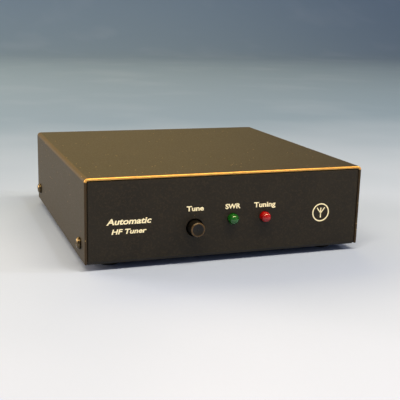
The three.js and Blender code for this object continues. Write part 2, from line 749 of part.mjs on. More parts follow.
function addLamps() {
  const lens = lamp();
  const colours = { swr_lamp: FINISHES.greenLens, tuning_lamp: FINISHES.redLens };
  const tip = -(PANEL_FACE + LAMP_STAND_OUT);
  const holderFront = tip + LAMP_LENGTH + SEAT_GAP;
  const half = LAMP_DIAMETER / 2 + LAMP_FLANGE_RIM + LAMP_HOLDER_MARGIN;
  const holder = block([-half, 0, ON_BOARD], [half, LAMP_HOLDER_DEPTH, LAMP_UP + half]);
  for (const [name, x] of Object.entries(LAMP_XS)) {
    piece(name, lens, colours[name], [x, tip, LAMP_UP]);
    piece(`${name}_holder`, holder, FINISHES.blackPlastic, [x, holderFront, 0]);
  }
}

// ---------------------------------------------------------------- coaxial sockets

// The four screw places around a socket, from its axis.
function socketCorners() {
  const half = SOCKET_FLANGE_SIDE / 2 - SOCKET_SCREW_INSET;
  return [
    [-half, half],
    [half, half],
    [-half, -half],
    [half, -half],
  ];
}

// The shell: a square flange with a barrel outside and a boss through the panel.
// y = 0 is the flange's seat on the panel, and the mouth faces +Y.
function socketShell() {
  const mouth = SOCKET_FLANGE_THICKNESS + SOCKET_BARREL_LENGTH;
  const half = SOCKET_FLANGE_SIDE / 2;
  const barrel = SOCKET_BARREL_DIAMETER / 2;
  const body = join(
    block([-half, 0, -half], [half, SOCKET_FLANGE_THICKNESS, half]),
    turned(
      [
        [0, JOIN_OVERLAP],
        [barrel, JOIN_OVERLAP],
        [barrel, mouth - SOCKET_MOUTH_CHAMFER],
        [barrel - SOCKET_MOUTH_CHAMFER, mouth],
        [0, mouth],
      ],
      LARGE_ROUND,
    ),
    rod(SOCKET_REAR_DIAMETER / 2, -SOCKET_REAR_LENGTH, JOIN_OVERLAP, 0, 0, LARGE_ROUND),
  );
  const screwHole = BOARD_SCREW_SHANK_DIAMETER / 2 + SCREW_CLEARANCE;
  return cut(
    body,
    rod(
      SOCKET_BORE_DIAMETER / 2,
      mouth - SOCKET_BORE_DEPTH,
      mouth + OVERSHOOT,
      0,
      0,
      LARGE_ROUND,
    ),
    rod(
      INSULATOR_RADIUS + SOCKET_INSULATOR_CLEARANCE,
      -SOCKET_REAR_LENGTH - OVERSHOOT,
      mouth - SOCKET_BORE_DEPTH + JOIN_OVERLAP,
    ),
    ...socketCorners().map(([x, z]) =>
      rod(screwHole, -OVERSHOOT, SOCKET_FLANGE_THICKNESS + OVERSHOOT, x, z, SCREW_ROUND),
    ),
  );
}

function addSockets() {
  const seat = PANEL_FACE + SEAT_GAP;
  const mouth = SOCKET_FLANGE_THICKNESS + SOCKET_BARREL_LENGTH;
  const boreFloor = mouth - SOCKET_BORE_DEPTH;
  const contact = SOCKET_CONTACT_DIAMETER / 2;
  const gap = SOCKET_INSULATOR_CLEARANCE;
  const shell = socketShell();
  const insulator = cut(
    rod(INSULATOR_RADIUS, -SOCKET_REAR_LENGTH, boreFloor),
    rod(contact + gap, -SOCKET_REAR_LENGTH - OVERSHOOT, boreFloor + OVERSHOOT),
  );
  const contactEnd = mouth - SOCKET_CONTACT_SETBACK;
  const contactPin = cut(
    join(
      rod(contact, -SOCKET_REAR_LENGTH, contactEnd),
      rod(
        SOCKET_TAIL_DIAMETER / 2,
        -SOCKET_REAR_LENGTH - SOCKET_TAIL_LENGTH,
        -SOCKET_REAR_LENGTH + JOIN_OVERLAP,
        0,
        0,
        SCREW_ROUND,
      ),
    ),
    rod(
      SOCKET_CONTACT_BORE / 2,
      contactEnd - SOCKET_CONTACT_BORE_DEPTH,
      contactEnd + OVERSHOOT,
    ),
  );
  const screw = panHeadScrew(BOARD_SCREW_SHANK_DIAMETER, SOCKET_SCREW_LENGTH);
  const screwSeat = seat + SOCKET_FLANGE_THICKNESS + SEAT_GAP;
  for (const [name, x] of Object.entries(SOCKET_XS)) {
    const place = [x, seat, REAR_ROW_UP];
    piece(`${name}_shell`, shell, FINISHES.nickel, place);
    piece(`${name}_insulator`, insulator, FINISHES.ptfe, place);
    piece(`${name}_contact`, contactPin, FINISHES.brass, place);
    socketCorners().forEach(([dx, dz], i) => {
      piece(`${name}_screw_${i + 1}`, screw, FINISHES.nickel, [
        x + dx,
        screwSeat,
        REAR_ROW_UP + dz,
      ]);
    });
  }
}

// ---------------------------------------------------------------- ground terminal

// Two wings on a hub with a threaded bore, seat at y = 0, wings rising along +Y.
function wingNut() {
  const hub = WING_HUB_DIAMETER / 2;
  const half = WING_SPAN / 2;
  const wing = new THREE.Shape();
  wing.moveTo(hub / 2, WING_ROOT_UP);
  wing.lineTo(hub, WING_ROOT_UP);
  wing.quadraticCurveTo(half - WING_SWEEP_IN, WING_SWEEP_UP, half, WING_REACH - WING_TIP_DROP);
  wing.quadraticCurveTo(half, WING_REACH, half - WING_TIP_IN, WING_REACH);
  wing.quadraticCurveTo(
    hub + WING_ROOT_EASE,
    WING_REACH - WING_ROOT_EASE,
    hub / 2,
    WING_HUB_HEIGHT - WING_ROOT_EASE,
  );
  wing.closePath();
  const blade = new THREE.ExtrudeGeometry(wing, {
    depth: WING_THICKNESS,
    curveSegments: WING_CURVE_STEPS,
    bevelEnabled: false,
  }).translate(0, 0, -WING_THICKNESS / 2);
  const body = join(
    turned([
      [0, 0],
      [hub, 0],
      [hub * WING_HUB_TAPER, WING_HUB_HEIGHT],
      [0, WING_HUB_HEIGHT],
    ]),
    blade,
    blade.clone().rotateY(Math.PI),
  );
  const bore = GROUND_STUD_DIAMETER / 2 + GROUND_CLEARANCE;
  return cut(body, rod(bore, -OVERSHOOT, WING_REACH + OVERSHOOT));
}

function addGroundTerminal() {
  const stud = GROUND_STUD_DIAMETER / 2;
  const bore = stud + GROUND_CLEARANCE;
  const headFront = PANEL_BACK - SEAT_GAP;
  const post = join(
    hexBar(GROUND_STUD_HEAD_DIAMETER, headFront - GROUND_STUD_HEAD_THICKNESS, headFront),
    rod(stud, headFront - JOIN_OVERLAP, PANEL_FACE + GROUND_STUD_REACH),
  );
  const axis = [GROUND_X, 0, REAR_ROW_UP];
  piece("ground_post", post, FINISHES.zinc, axis);

  const nut = cut(
    hexBar(GROUND_NUT_ACROSS_FLATS, 0, GROUND_NUT_THICKNESS),
    rod(bore, -OVERSHOOT, GROUND_NUT_THICKNESS + OVERSHOOT),
  );
  const washer = cut(
    rod(GROUND_WASHER_DIAMETER / 2, 0, GROUND_WASHER_THICKNESS),
    rod(bore, -OVERSHOOT, GROUND_WASHER_THICKNESS + OVERSHOOT),
  );
  const nutSeat = PANEL_FACE + SEAT_GAP;
  const washerSeat = nutSeat + GROUND_NUT_THICKNESS + SEAT_GAP;
  const wingSeat = washerSeat + GROUND_WASHER_THICKNESS + SEAT_GAP;
  piece("ground_nut", nut, FINISHES.zinc, [GROUND_X, nutSeat, REAR_ROW_UP]);
  piece("ground_washer", washer, FINISHES.zinc, [GROUND_X, washerSeat, REAR_ROW_UP]);
  piece("ground_wing_nut", wingNut(), FINISHES.zinc, [GROUND_X, wingSeat, REAR_ROW_UP]);
}

// ---------------------------------------------------------------- power and control jacks

function addJacks() {
  const mouth = PANEL_BACK - JACK_CLEARANCE;
  const half = POWER_JACK_SIDE / 2;
  const powerBody = block(
    [-half, mouth - POWER_JACK_LENGTH, ON_BOARD],
    [half, mouth, ON_BOARD + POWER_JACK_HEIGHT],
  );
  const throat = rod(
    POWER_JACK_BORE / 2,
    mouth - POWER_JACK_BORE_DEPTH,
    mouth + OVERSHOOT,
    0,
    POWER_JACK_UP,
  );
  const pinRadius = POWER_JACK_PIN_DIAMETER / 2;
  const pinSocket = rod(
    pinRadius + SEAT_GAP,
    mouth - POWER_JACK_BORE_DEPTH - POWER_JACK_PIN_ROOT - SEAT_GAP,
    mouth,
    0,
    POWER_JACK_UP,
    SCREW_ROUND,
  );
  piece("power_jack_housing", cut(powerBody, throat, pinSocket), FINISHES.blackPlastic, [
    POWER_JACK_X,
    0,
    0,
  ]);
  piece(
    "power_jack_pin",
    rod(pinRadius, -POWER_JACK_PIN_ROOT, POWER_JACK_PIN_REACH, 0, 0, SCREW_ROUND),
    FINISHES.nickel,
    [POWER_JACK_X, mouth - POWER_JACK_BORE_DEPTH, POWER_JACK_UP],
  );

  const side = CONTROL_JACK_WIDTH / 2;
  const bushEnd = PANEL_FACE + CONTROL_JACK_BUSH_REACH;
  const controlBody = join(
    block(
      [-side, mouth - CONTROL_JACK_DEPTH, ON_BOARD],
      [side, mouth, ON_BOARD + CONTROL_JACK_HEIGHT],
    ),
    rod(CONTROL_JACK_BUSH_DIAMETER / 2, mouth - JOIN_OVERLAP, bushEnd, 0, CONTROL_JACK_UP),
  );
  const bore = rod(
    CONTROL_JACK_BORE / 2,
    mouth - CONTROL_JACK_DEPTH + CONTROL_JACK_BACK_WALL,
    bushEnd + OVERSHOOT,
    0,
    CONTROL_JACK_UP,
    SCREW_ROUND,
  );
  piece("control_jack_housing", cut(controlBody, bore), FINISHES.blackPlastic, [
    CONTROL_JACK_X,
    0,
    0,
  ]);
  const nutBore = CONTROL_JACK_BUSH_DIAMETER / 2 + CONTROL_NUT_CLEARANCE;
  const ring = cut(
    rod(nutBore + CONTROL_NUT_WALL, 0, CONTROL_NUT_THICKNESS),
    rod(nutBore, -OVERSHOOT, CONTROL_NUT_THICKNESS + OVERSHOOT),
  );
  piece("control_jack_nut", ring, FINISHES.nickel, [
    CONTROL_JACK_X,
    PANEL_FACE + SEAT_GAP,
    CONTROL_JACK_UP,
  ]);
}

// ---------------------------------------------------------------- parts on the board

// A row of relays side by side, joined by a thin web at the board.
function relayBank() {
  const length = RELAY_COUNT * RELAY_PITCH - RELAY_GROOVE;
  const half = RELAY_LENGTH / 2;
  const bank = block([-length / 2, -half, 0], [length / 2, half, RELAY_HEIGHT]);
  const grooves = [];
  for (let i = 1; i < RELAY_COUNT; i++) {
    const x = -length / 2 + i * RELAY_PITCH - RELAY_GROOVE;
    grooves.push(
      block(
        [x, -half - OVERSHOOT, RELAY_WEB],
        [x + RELAY_GROOVE, half + OVERSHOOT, RELAY_HEIGHT + OVERSHOOT],
      ),
    );
  }
  return cut(bank, ...grooves);
}

// A ring of square section with its corners taken off, about the Y axis.
function ringCore(outerDiameter, innerDiameter, width) {
  const outer = outerDiameter / 2;
  const inner = innerDiameter / 2;
  const half = width / 2;
  const profile = [
    [inner, -half + RING_CHAMFER],
    [inner + RING_CHAMFER, -half],
    [outer - RING_CHAMFER, -half],
    [outer, -half + RING_CHAMFER],
    [outer, half - RING_CHAMFER],
    [outer - RING_CHAMFER, half],
    [inner + RING_CHAMFER, half],
    [inner, half - RING_CHAMFER],
  ];
  return turned([...profile, profile[0]], SCREW_ROUND);
}

function addBoardParts() {
  const bank = relayBank();
  for (const [name, y] of Object.entries(RELAY_BANK_YS)) {
    piece(name, bank, FINISHES.relayCase, [0, y, ON_BOARD]);
  }
  const inductor = ringCore(INDUCTOR_OUTER_DIAMETER, INDUCTOR_INNER_DIAMETER, INDUCTOR_WIDTH);
  const first = (-(INDUCTOR_COUNT - 1) / 2) * INDUCTOR_PITCH;
  for (let i = 0; i < INDUCTOR_COUNT; i++) {
    piece(
      `inductor_${i + 1}`,
      inductor,
      FINISHES.copper,
      [first + i * INDUCTOR_PITCH, INDUCTOR_Y, ON_BOARD + INDUCTOR_OUTER_DIAMETER / 2],
      POINT_RIGHT,
    );
  }
  piece(
    "coupler_transformer",
    ringCore(COUPLER_OUTER_DIAMETER, COUPLER_INNER_DIAMETER, COUPLER_WIDTH),
    FINISHES.ferrite,
    [COUPLER_X, COUPLER_Y, ON_BOARD + COUPLER_OUTER_DIAMETER / 2],
  );
  piece(
    "controller_chip",
    block(
      [-CHIP_LENGTH / 2, -CHIP_WIDTH / 2, 0],
      [CHIP_LENGTH / 2, CHIP_WIDTH / 2, CHIP_THICKNESS],
    ),
    FINISHES.chip,
    [CHIP_X, CHIP_Y, BOARD_TOP + CHIP_STAND],
  );
}

addCase();
addBoard();
addTuneButton();
addLamps();
addSockets();
addGroundTerminal();
addJacks();
addBoardParts();

export default tuner;
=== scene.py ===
"""A compact automatic antenna tuner: black powder-coated case, tune button, two lamps, two
coaxial sockets, a ground terminal and two jacks, with the tuner board inside.

Measures are in millimetres and are multiplied by MM where they meet Blender's metres.
Each moving or fixed part of the frame is replaced by a finer piece in the same place.
"""

import math

import bmesh
import bpy
from mathutils import Matrix, Vector


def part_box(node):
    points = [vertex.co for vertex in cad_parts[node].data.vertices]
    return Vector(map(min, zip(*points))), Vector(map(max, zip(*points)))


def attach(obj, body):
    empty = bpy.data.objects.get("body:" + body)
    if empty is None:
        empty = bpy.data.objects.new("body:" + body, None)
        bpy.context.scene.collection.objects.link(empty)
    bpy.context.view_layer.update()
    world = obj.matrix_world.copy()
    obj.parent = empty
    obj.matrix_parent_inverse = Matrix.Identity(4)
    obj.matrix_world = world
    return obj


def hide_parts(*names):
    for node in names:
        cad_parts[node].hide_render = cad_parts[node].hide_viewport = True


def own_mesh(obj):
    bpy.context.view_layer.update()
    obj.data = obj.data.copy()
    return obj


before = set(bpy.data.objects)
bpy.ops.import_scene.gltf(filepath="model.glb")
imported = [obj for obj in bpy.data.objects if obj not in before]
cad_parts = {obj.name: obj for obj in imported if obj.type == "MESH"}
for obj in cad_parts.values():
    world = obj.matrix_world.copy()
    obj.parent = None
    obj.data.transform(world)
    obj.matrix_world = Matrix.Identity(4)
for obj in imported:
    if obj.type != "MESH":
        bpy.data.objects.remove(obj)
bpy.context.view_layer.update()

MM = 0.001
TAU = 2 * math.pi
SMOOTH_ANGLE = math.radians(32)

# ------------------------------------------------------------------ the case's measures

SHEET = 1.27
BEND_INSIDE = 0.63
CUT_EDGE = 0.62  # how far the powder coat rounds off a cut edge of the sheet
HOLE_EDGE = 0.18
SIDE_SHEEN = 0.03  # how much painted highlight the upright cut edges get, where the top ones get 1
BEND_SHEEN = 0.04  # how much painted highlight the cover's bends get, beside its cut edges
BEND_STEPS = 8
EDGE_STEPS = 6
SEAT_GAP = 0.02


def node_box(*names):
    """Lowest and highest corner of some nodes of the frame together, in millimetres."""
    lows, highs = zip(*(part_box(name) for name in names))
    low = Vector(min(c) for c in zip(*lows))
    high = Vector(max(c) for c in zip(*highs))
    return low / MM, high / MM


def node_centre(name):
    low, high = node_box(name)
    return (low + high) / 2


COVER_LOW, COVER_HIGH = node_box("top_cover")
CHASSIS_LOW, CHASSIS_HIGH = node_box("base_chassis")
BOARD_LOW, BOARD_HIGH = node_box("main_board")
SOCKETS = ("antenna_socket", "transmitter_socket")
CORNERS = [f"{end}_{hand}" for end in ("front", "rear") for hand in ("left", "right")]
PANEL_FRONT = CHASSIS_LOW.y
PANEL_REAR = CHASSIS_HIGH.y

# ------------------------------------------------------------------ camera, floor, lights

CAMERA_PLACE = Vector((-136.85, -409.75, 115.02))
CAMERA_TARGET = Vector((-15.41, -75.85, 30.85))
CAMERA_ROLL = math.radians(1.459)
CAMERA_LENS = 70.62
SENSOR = 36.0


def add_camera():
    data = bpy.data.cameras.new("camera")
    data.lens = CAMERA_LENS
    data.sensor_width = SENSOR
    data.clip_start = 0.01
    camera = bpy.data.objects.new("camera", data)
    bpy.context.scene.collection.objects.link(camera)
    forward = (CAMERA_TARGET - CAMERA_PLACE).normalized()
    level = forward.cross(Vector((0, 0, 1))).normalized()
    upright = level.cross(forward)
    right = level * math.cos(CAMERA_ROLL) + upright * math.sin(CAMERA_ROLL)
    up = right.cross(forward)
    turn = Matrix((right, up, -forward)).transposed().to_4x4()
    camera.matrix_world = Matrix.Translation(CAMERA_PLACE * MM) @ turn
    bpy.context.scene.camera = camera


def add_area_light(name, direction, distance, size, power, colour):
    """A square area light that faces the middle of the object from a direction."""
    data = bpy.data.lights.new(name, "AREA")
    data.shape = "RECTANGLE"
    data.size, data.size_y = size
    data.energy = power
    data.color = colour
    lamp = bpy.data.objects.new(name, data)
    bpy.context.scene.collection.objects.link(lamp)
    away = Vector(direction).normalized()
    lamp.location = away * distance + Vector((0, 0, 0.02))
    lamp.rotation_mode = "QUATERNION"
    lamp.rotation_quaternion = (-away).to_track_quat("-Z", "Y")


def add_lights():
    add_area_light("overhead_strip", (0.0, -0.40, 0.92), 1.5, (1.9, 0.22), 33, (1.0, 0.78, 0.42))
    add_area_light("overhead_lamp", (0.14, -0.30, 0.95), 1.5, (0.08, 0.08), 2.5, (1.0, 0.86, 0.62))
    add_area_light("right_lamp", (0.80, -0.30, 0.52), 1.7, (0.14, 0.14), 7.0, (1.0, 0.84, 0.60))
    add_area_light("back_softbox", (-0.12, 0.74, 0.66), 1.9, (2.2, 0.9), 25, (1.0, 0.70, 0.22))
    add_area_light("front_softbox", (0.55, -0.80, 0.36), 1.9, (1.4, 1.0), 1.8, (1.0, 0.82, 0.56))
    add_area_light("left_softbox", (-0.79, 0.55, 0.26), 1.8, (0.9, 0.9), 36, (1.0, 0.76, 0.46))
    world = bpy.data.worlds.new("studio")
    bpy.context.scene.world = world
    world.use_nodes = True
    background = world.node_tree.nodes["Background"]
    background.inputs["Color"].default_value = (0.90, 0.92, 0.96, 1)
    background.inputs["Strength"].default_value = 0.22
    bpy.context.scene.view_settings.view_transform = "Standard"


# ------------------------------------------------------------------ materials


class Finish:
    """A node material under construction, with short ways to add and join its nodes."""

    def __init__(self, name):
        self.material = bpy.data.materials.new(name)
        self.material.use_nodes = True
        self.nodes = self.material.node_tree.nodes
        self.links = self.material.node_tree.links
        self.shader = self.nodes["Principled BSDF"]
        self.place = self.nodes.new("ShaderNodeTexCoord").outputs["Object"]

    def add(self, kind, **settings):
        node = self.nodes.new(kind)
        for key, value in settings.items():
            setattr(node, key, value)
        return node

    def feed(self, node, socket, value):
        target = node.inputs[socket]
        if isinstance(value, bpy.types.NodeSocket):
            self.links.new(value, target)
        else:
            target.default_value = value

    def set(self, **values):
        """Sets or links the shader's own sockets."""
        for key, value in values.items():
            self.feed(self.shader, key.replace("_", " "), value)

    def noise(self, scale, detail=2.0, roughness=0.5, vector=None):
        node = self.add("ShaderNodeTexNoise")
        self.feed(node, "Vector", vector or self.place)
        self.feed(node, "Scale", scale)
        self.feed(node, "Detail", detail)
        self.feed(node, "Roughness", roughness)
        return node.outputs["Fac"]

    def cells(self, scale, output="Distance", metric="EUCLIDEAN"):
        node = self.add("ShaderNodeTexVoronoi", distance=metric)
        self.feed(node, "Vector", self.place)
        self.feed(node, "Scale", scale)
        return node.outputs[output]

    def remap(self, value, low, high, to_low=0.0, to_high=1.0):
        node = self.add("ShaderNodeMapRange")
        names = ("Value", "From Min", "From Max", "To Min", "To Max")
        for socket, number in zip(names, (value, low, high, to_low, to_high)):
            self.feed(node, socket, number)
        return node.outputs["Result"]

    def math(self, operation, a, b=0.0):
        node = self.add("ShaderNodeMath", operation=operation)
        self.feed(node, 0, a)
        self.feed(node, 1, b)
        return node.outputs[0]

    def mix(self, share, a, b):
        node = self.add("ShaderNodeMix", data_type="RGBA")
        self.feed(node, 0, share)
        self.feed(node, 6, a)
        self.feed(node, 7, b)
        return node.outputs[2]

    def attribute(self, name):
        node = self.add("ShaderNodeAttribute", attribute_name=name)
        return node.outputs["Fac"]

    def axis(self, name):
        node = self.add("ShaderNodeSeparateXYZ")
        self.feed(node, 0, self.place)
        return node.outputs[name]

    def bump(self, height, distance, strength=1.0):
        node = self.add("ShaderNodeBump")
        self.feed(node, "Height", height)
        self.feed(node, "Distance", distance)
        self.feed(node, "Strength", strength)
        self.feed(self.shader, "Normal", node.outputs["Normal"])


def colour(red, green, blue):
    return (red, green, blue, 1.0)


def black_powder():
    """Fine-textured black powder coat: a pebbled skin with sparse golden specks, painted glints
    off its texture.
    Where its edge attribute says so, it turns glossy bronze metal: a painted highlight of the
    lamps on the edges."""
    finish = Finish("black_powder")
    cloud = finish.remap(finish.noise(60, 3), 0.3, 0.7)
    base = finish.mix(cloud, colour(0.010, 0.0082, 0.006), colour(0.014, 0.0115, 0.008))
    grain = finish.noise(1250, 3, 0.6)
    tinted = finish.mix(finish.remap(grain, 0.48, 0.70), base, colour(0.027, 0.021, 0.014))
    # Sparse golden specks: painted glints of the lamps off the coat's texture.
    picked = finish.math("GREATER_THAN", finish.cells(620, "Color"), 0.87)
    near = finish.math("LESS_THAN", finish.cells(620), 0.17)
    painted_glint = finish.math("MULTIPLY", picked, near)
    coat = finish.mix(painted_glint, tinted, colour(0.36, 0.26, 0.11))
    # Painted highlight: the edge attribute turns the coat to glossy bronze metal where the lamps
    # glint on its edges.
    painted_sheen = finish.attribute("painted_sheen")
    patches = finish.remap(finish.noise(420, 3), 0.2, 0.6, 0.7, 1.0)
    edge_sheen = finish.math("MULTIPLY", painted_sheen, patches)
    rough = finish.remap(grain, 0.3, 0.7, 0.52, 0.66)
    finish.set(
        Base_Color=finish.mix(edge_sheen, coat, colour(0.82, 0.45, 0.12)),
        Metallic=finish.math("MULTIPLY", edge_sheen, 0.55),
        Roughness=finish.math("SUBTRACT", rough, finish.math("MULTIPLY", edge_sheen, 0.22)),
        IOR=1.37,
    )
    skin = finish.math("ADD", grain, finish.math("MULTIPLY", finish.noise(900, 2), 0.8))
    finish.bump(skin, 0.00006, 0.5)
    return finish.material


def plain_plastic(name, dark, light, roughness, scale=900, depth=0.00002):
    """Moulded plastic: a faint mottle in its colour and a fine moulded grain."""
    finish = Finish(name)
    mottle = finish.remap(finish.noise(scale * 0.2, 3), 0.3, 0.7)
    grain = finish.noise(scale, 2)
    finish.set(
        Base_Color=finish.mix(mottle, dark, light),
        Roughness=finish.remap(grain, 0.3, 0.7, roughness - 0.05, roughness + 0.06),
    )
    finish.bump(grain, depth, 0.4)
    return finish.material


def sheen_and_wear_plastic():
    """Near-black button plastic, glossy brown where its attribute says so: finger wear and a
    painted highlight on the rim.
    """
    finish = Finish("button_plastic")
    painted_sheen = finish.attribute("painted_sheen")
    sheen_and_wear = finish.math("MULTIPLY", painted_sheen, finish.remap(finish.noise(700, 3), 0.25, 0.6, 0.5, 1.0))
    finish.set(
        Base_Color=finish.mix(sheen_and_wear, colour(0.007, 0.006, 0.005), colour(0.10, 0.060, 0.024)),
        Roughness=finish.math("SUBTRACT", 0.40, finish.math("MULTIPLY", sheen_and_wear, 0.15)),
        IOR=1.38,
    )
    finish.bump(finish.noise(900, 2), 0.00002, 0.4)
    return finish.material


def plated_metal(name, dark, light, roughness, scale=400):
    """Plated or bare metal: slight tarnish in patches and fine scratches along it."""
    finish = Finish(name)
    patches = finish.remap(finish.noise(scale * 0.3, 4), 0.35, 0.7)
    scratches = finish.noise(scale * 6, 2)
    finish.set(
        Base_Color=finish.mix(patches, dark, light),
        Roughness=finish.remap(scratches, 0.3, 0.7, roughness - 0.06, roughness + 0.08),
        Metallic=1.0,
    )
    finish.bump(scratches, 0.000008, 0.35)
    return finish.material


def lens_plastic(name, deep, pale):
    """Tinted, slightly cloudy lens resin, its colour mottled at random."""
    finish = Finish(name)
    cloud = finish.remap(finish.noise(160, 2), 0.3, 0.7)
    finish.set(
        Base_Color=finish.mix(cloud, deep, pale),
        Roughness=finish.remap(finish.noise(900, 2), 0.3, 0.7, 0.04, 0.08),
        Transmission_Weight=0.15,
        IOR=1.5,
        Coat_Weight=0.3,
        Coat_IOR=1.6,
        Coat_Roughness=0.05,
    )
    return finish.material


def printed_ink():
    """Pale cream screen-printed ink, a little thin in places."""
    finish = Finish("legend_ink")
    thin = finish.remap(finish.noise(2200, 3), 0.62, 0.78)
    finish.set(
        Base_Color=finish.mix(thin, colour(0.98, 0.92, 0.68), colour(0.86, 0.77, 0.52)),
        Roughness=0.55,
    )
    finish.bump(finish.noise(3000, 2), 0.00001, 0.3)
    return finish.material


def circuit_board():
    """Green solder mask over copper: tracks run one way or the other in each part of the
    board, plain copper fills the rest, and tinned vias dot it."""
    finish = Finish("circuit_board")
    lanes = []
    for direction in ("X", "Y"):
        wave = finish.add("ShaderNodeTexWave", bands_direction=direction)
        finish.feed(wave, "Vector", finish.place)
        finish.feed(wave, "Scale", 230.0)
        lanes.append(finish.remap(wave.outputs["Fac"], 0.42, 0.52))
    patches = finish.cells(75, "Color", metric="CHEBYCHEV")
    lane = finish.mix(finish.math("GREATER_THAN", patches, 0.5), *lanes)
    tracked = finish.math("GREATER_THAN", finish.cells(48, "Color", metric="MANHATTAN"), 0.42)
    copper = finish.mix(tracked, colour(1, 1, 1), lane)
    mask = finish.mix(copper, colour(0.008, 0.060, 0.022), colour(0.018, 0.125, 0.046))
    via = finish.math("LESS_THAN", finish.cells(260), 0.13)
    some = finish.math("GREATER_THAN", finish.cells(260, "Color"), 0.6)
    tinned = finish.math("MULTIPLY", via, some)
    finish.set(
        Base_Color=finish.mix(tinned, mask, colour(0.60, 0.62, 0.60)),
        Metallic=tinned,
        Roughness=finish.remap(finish.noise(900, 2), 0.3, 0.7, 0.26, 0.40),
    )
    finish.bump(copper, 0.00003, 0.5)
    return finish.material


FINISHES = {}


def make_finishes():
    """Every finish under its name. The rows hold a dark and a light colour, a roughness,
    and where it differs the scale and the depth of the grain."""
    plastics = (
        ("foot_rubber", (0.010, 0.010, 0.011), (0.02, 0.02, 0.021), 0.75, 1400, 0.00005),
        ("black_plastic", (0.012, 0.012, 0.013), (0.022, 0.022, 0.024), 0.4),
        ("white_plastic", (0.76, 0.73, 0.66), (0.84, 0.82, 0.76), 0.42),
        ("relay_plastic", (0.62, 0.60, 0.52), (0.72, 0.70, 0.62), 0.38),
        ("core_paint", (0.40, 0.028, 0.018), (0.52, 0.045, 0.03), 0.5),
        ("ferrite", (0.030, 0.030, 0.033), (0.055, 0.055, 0.060), 0.62, 1600, 0.00005),
        ("chip_plastic", (0.011, 0.011, 0.013), (0.020, 0.020, 0.023), 0.5, 1800),
        ("brown_ceramic", (0.42, 0.16, 0.045), (0.52, 0.22, 0.07), 0.34),
        ("blue_sleeve", (0.015, 0.035, 0.14), (0.02, 0.05, 0.19), 0.3),
    )
    metals = (
        ("black_screw", (0.10, 0.075, 0.045), (0.20, 0.15, 0.085), 0.24),
        ("zinc_steel", (0.48, 0.48, 0.46), (0.62, 0.61, 0.58), 0.36),
        ("nickel_plate", (0.56, 0.54, 0.50), (0.70, 0.68, 0.63), 0.22),
        ("contact_metal", (0.60, 0.45, 0.20), (0.75, 0.60, 0.32), 0.26),
        ("wound_core", (0.50, 0.16, 0.05), (0.66, 0.25, 0.09), 0.24, 600),
        ("solder", (0.52, 0.53, 0.55), (0.68, 0.69, 0.70), 0.2),
    )
    lenses = (
        ("green_lens", (0.003, 0.095, 0.006), (0.005, 0.125, 0.009)),
        ("red_lens", (0.34, 0.001, 0.001), (0.44, 0.002, 0.002)),
    )
    for make, rows in ((plain_plastic, plastics), (plated_metal, metals), (lens_plastic, lenses)):
        for name, dark, light, *rest in rows:
            FINISHES[name] = make(name, colour(*dark), colour(*light), *rest)
    FINISHES.update(
        black_powder=black_powder(),
        button_plastic=sheen_and_wear_plastic(),
        legend_ink=printed_ink(),
        circuit_board=circuit_board(),
    )


# ------------------------------------------------------------------ mesh helpers


def link(name, mesh):
    piece = bpy.data.objects.new(name, mesh)
    bpy.context.scene.collection.objects.link(piece)
    return piece


def evaluated_mesh(source):
    """The plain mesh of an object with its modifiers worked out."""
    graph = bpy.context.evaluated_depsgraph_get()
    graph.update()
    return bpy.data.meshes.new_from_object(
        source.evaluated_get(graph), preserve_all_data_layers=True, depsgraph=graph
    )


def discard(source):
    bpy.data.objects.remove(source)


def shaded(mesh, angle=SMOOTH_ANGLE):
    """Smooth shading, kept crisp where faces meet at more than an angle."""
    mesh.shade_smooth()
    mesh.set_sharp_from_angle(angle=angle)
    return mesh


def to_mesh(name, shape, finish=None):
    """A bmesh as a smooth-shaded mesh with one material."""
    bmesh.ops.remove_doubles(shape, verts=shape.verts, dist=1e-7)
    bmesh.ops.recalc_face_normals(shape, faces=shape.faces)
    mesh = bpy.data.meshes.new(name)
    shape.to_mesh(mesh)
    shape.free()
    if finish:
        mesh.materials.append(FINISHES[finish])
    return shaded(mesh)


def carved(mesh, cutters, operation="DIFFERENCE"):
    """A mesh with cutter meshes taken from it, or joined to it."""
    body = link("carving", mesh)
    tools = [link("cutter", cutter) for cutter in cutters]
    for tool in tools:
        modifier = body.modifiers.new("carve", "BOOLEAN")
        modifier.operation = operation
        modifier.solver = "MANIFOLD"
        modifier.object = tool
    result = evaluated_mesh(body)
    for used in [body, *tools]:
        discard(used)
    return shaded(result)


def weighted(mesh):
    """The mesh with its normals weighted by face area, so that flat faces stay flat."""
    body = link("weighting", mesh)
    modifier = body.modifiers.new("weigh", "WEIGHTED_NORMAL")
    modifier.keep_sharp = True
    result = evaluated_mesh(body)
    discard(body)
    return result


def merged(meshes):
    """Several meshes as one, with their materials kept."""
    shape = bmesh.new()
    finishes = []
    for mesh in meshes:
        first = len(shape.faces)
        shape.from_mesh(mesh)
        shape.faces.ensure_lookup_table()
        slots = []
        for material in mesh.materials:
            if material not in finishes:
                finishes.append(material)
            slots.append(finishes.index(material))
        for face in shape.faces[first:]:
            face.material_index = slots[min(face.material_index, len(slots) - 1)] if slots else 0
    result = bpy.data.meshes.new("merged")
    shape.to_mesh(result)
    shape.free()
    for material in finishes:
        result.materials.append(material)
    return result


def placed(mesh, matrix):
    """A copy of a mesh moved by a matrix in millimetres."""
    copy = mesh.copy()
    copy.transform(matrix)
    return copy


def facing(direction, place=(0, 0, 0), spin=0.0):
    """Turns +Z to a direction and moves the origin to a place, in millimetres."""
    turn = Vector(direction).to_track_quat("Z", "Y").to_matrix().to_4x4()
    return Matrix.Translation(place) @ turn @ Matrix.Rotation(spin, 4, "Z")


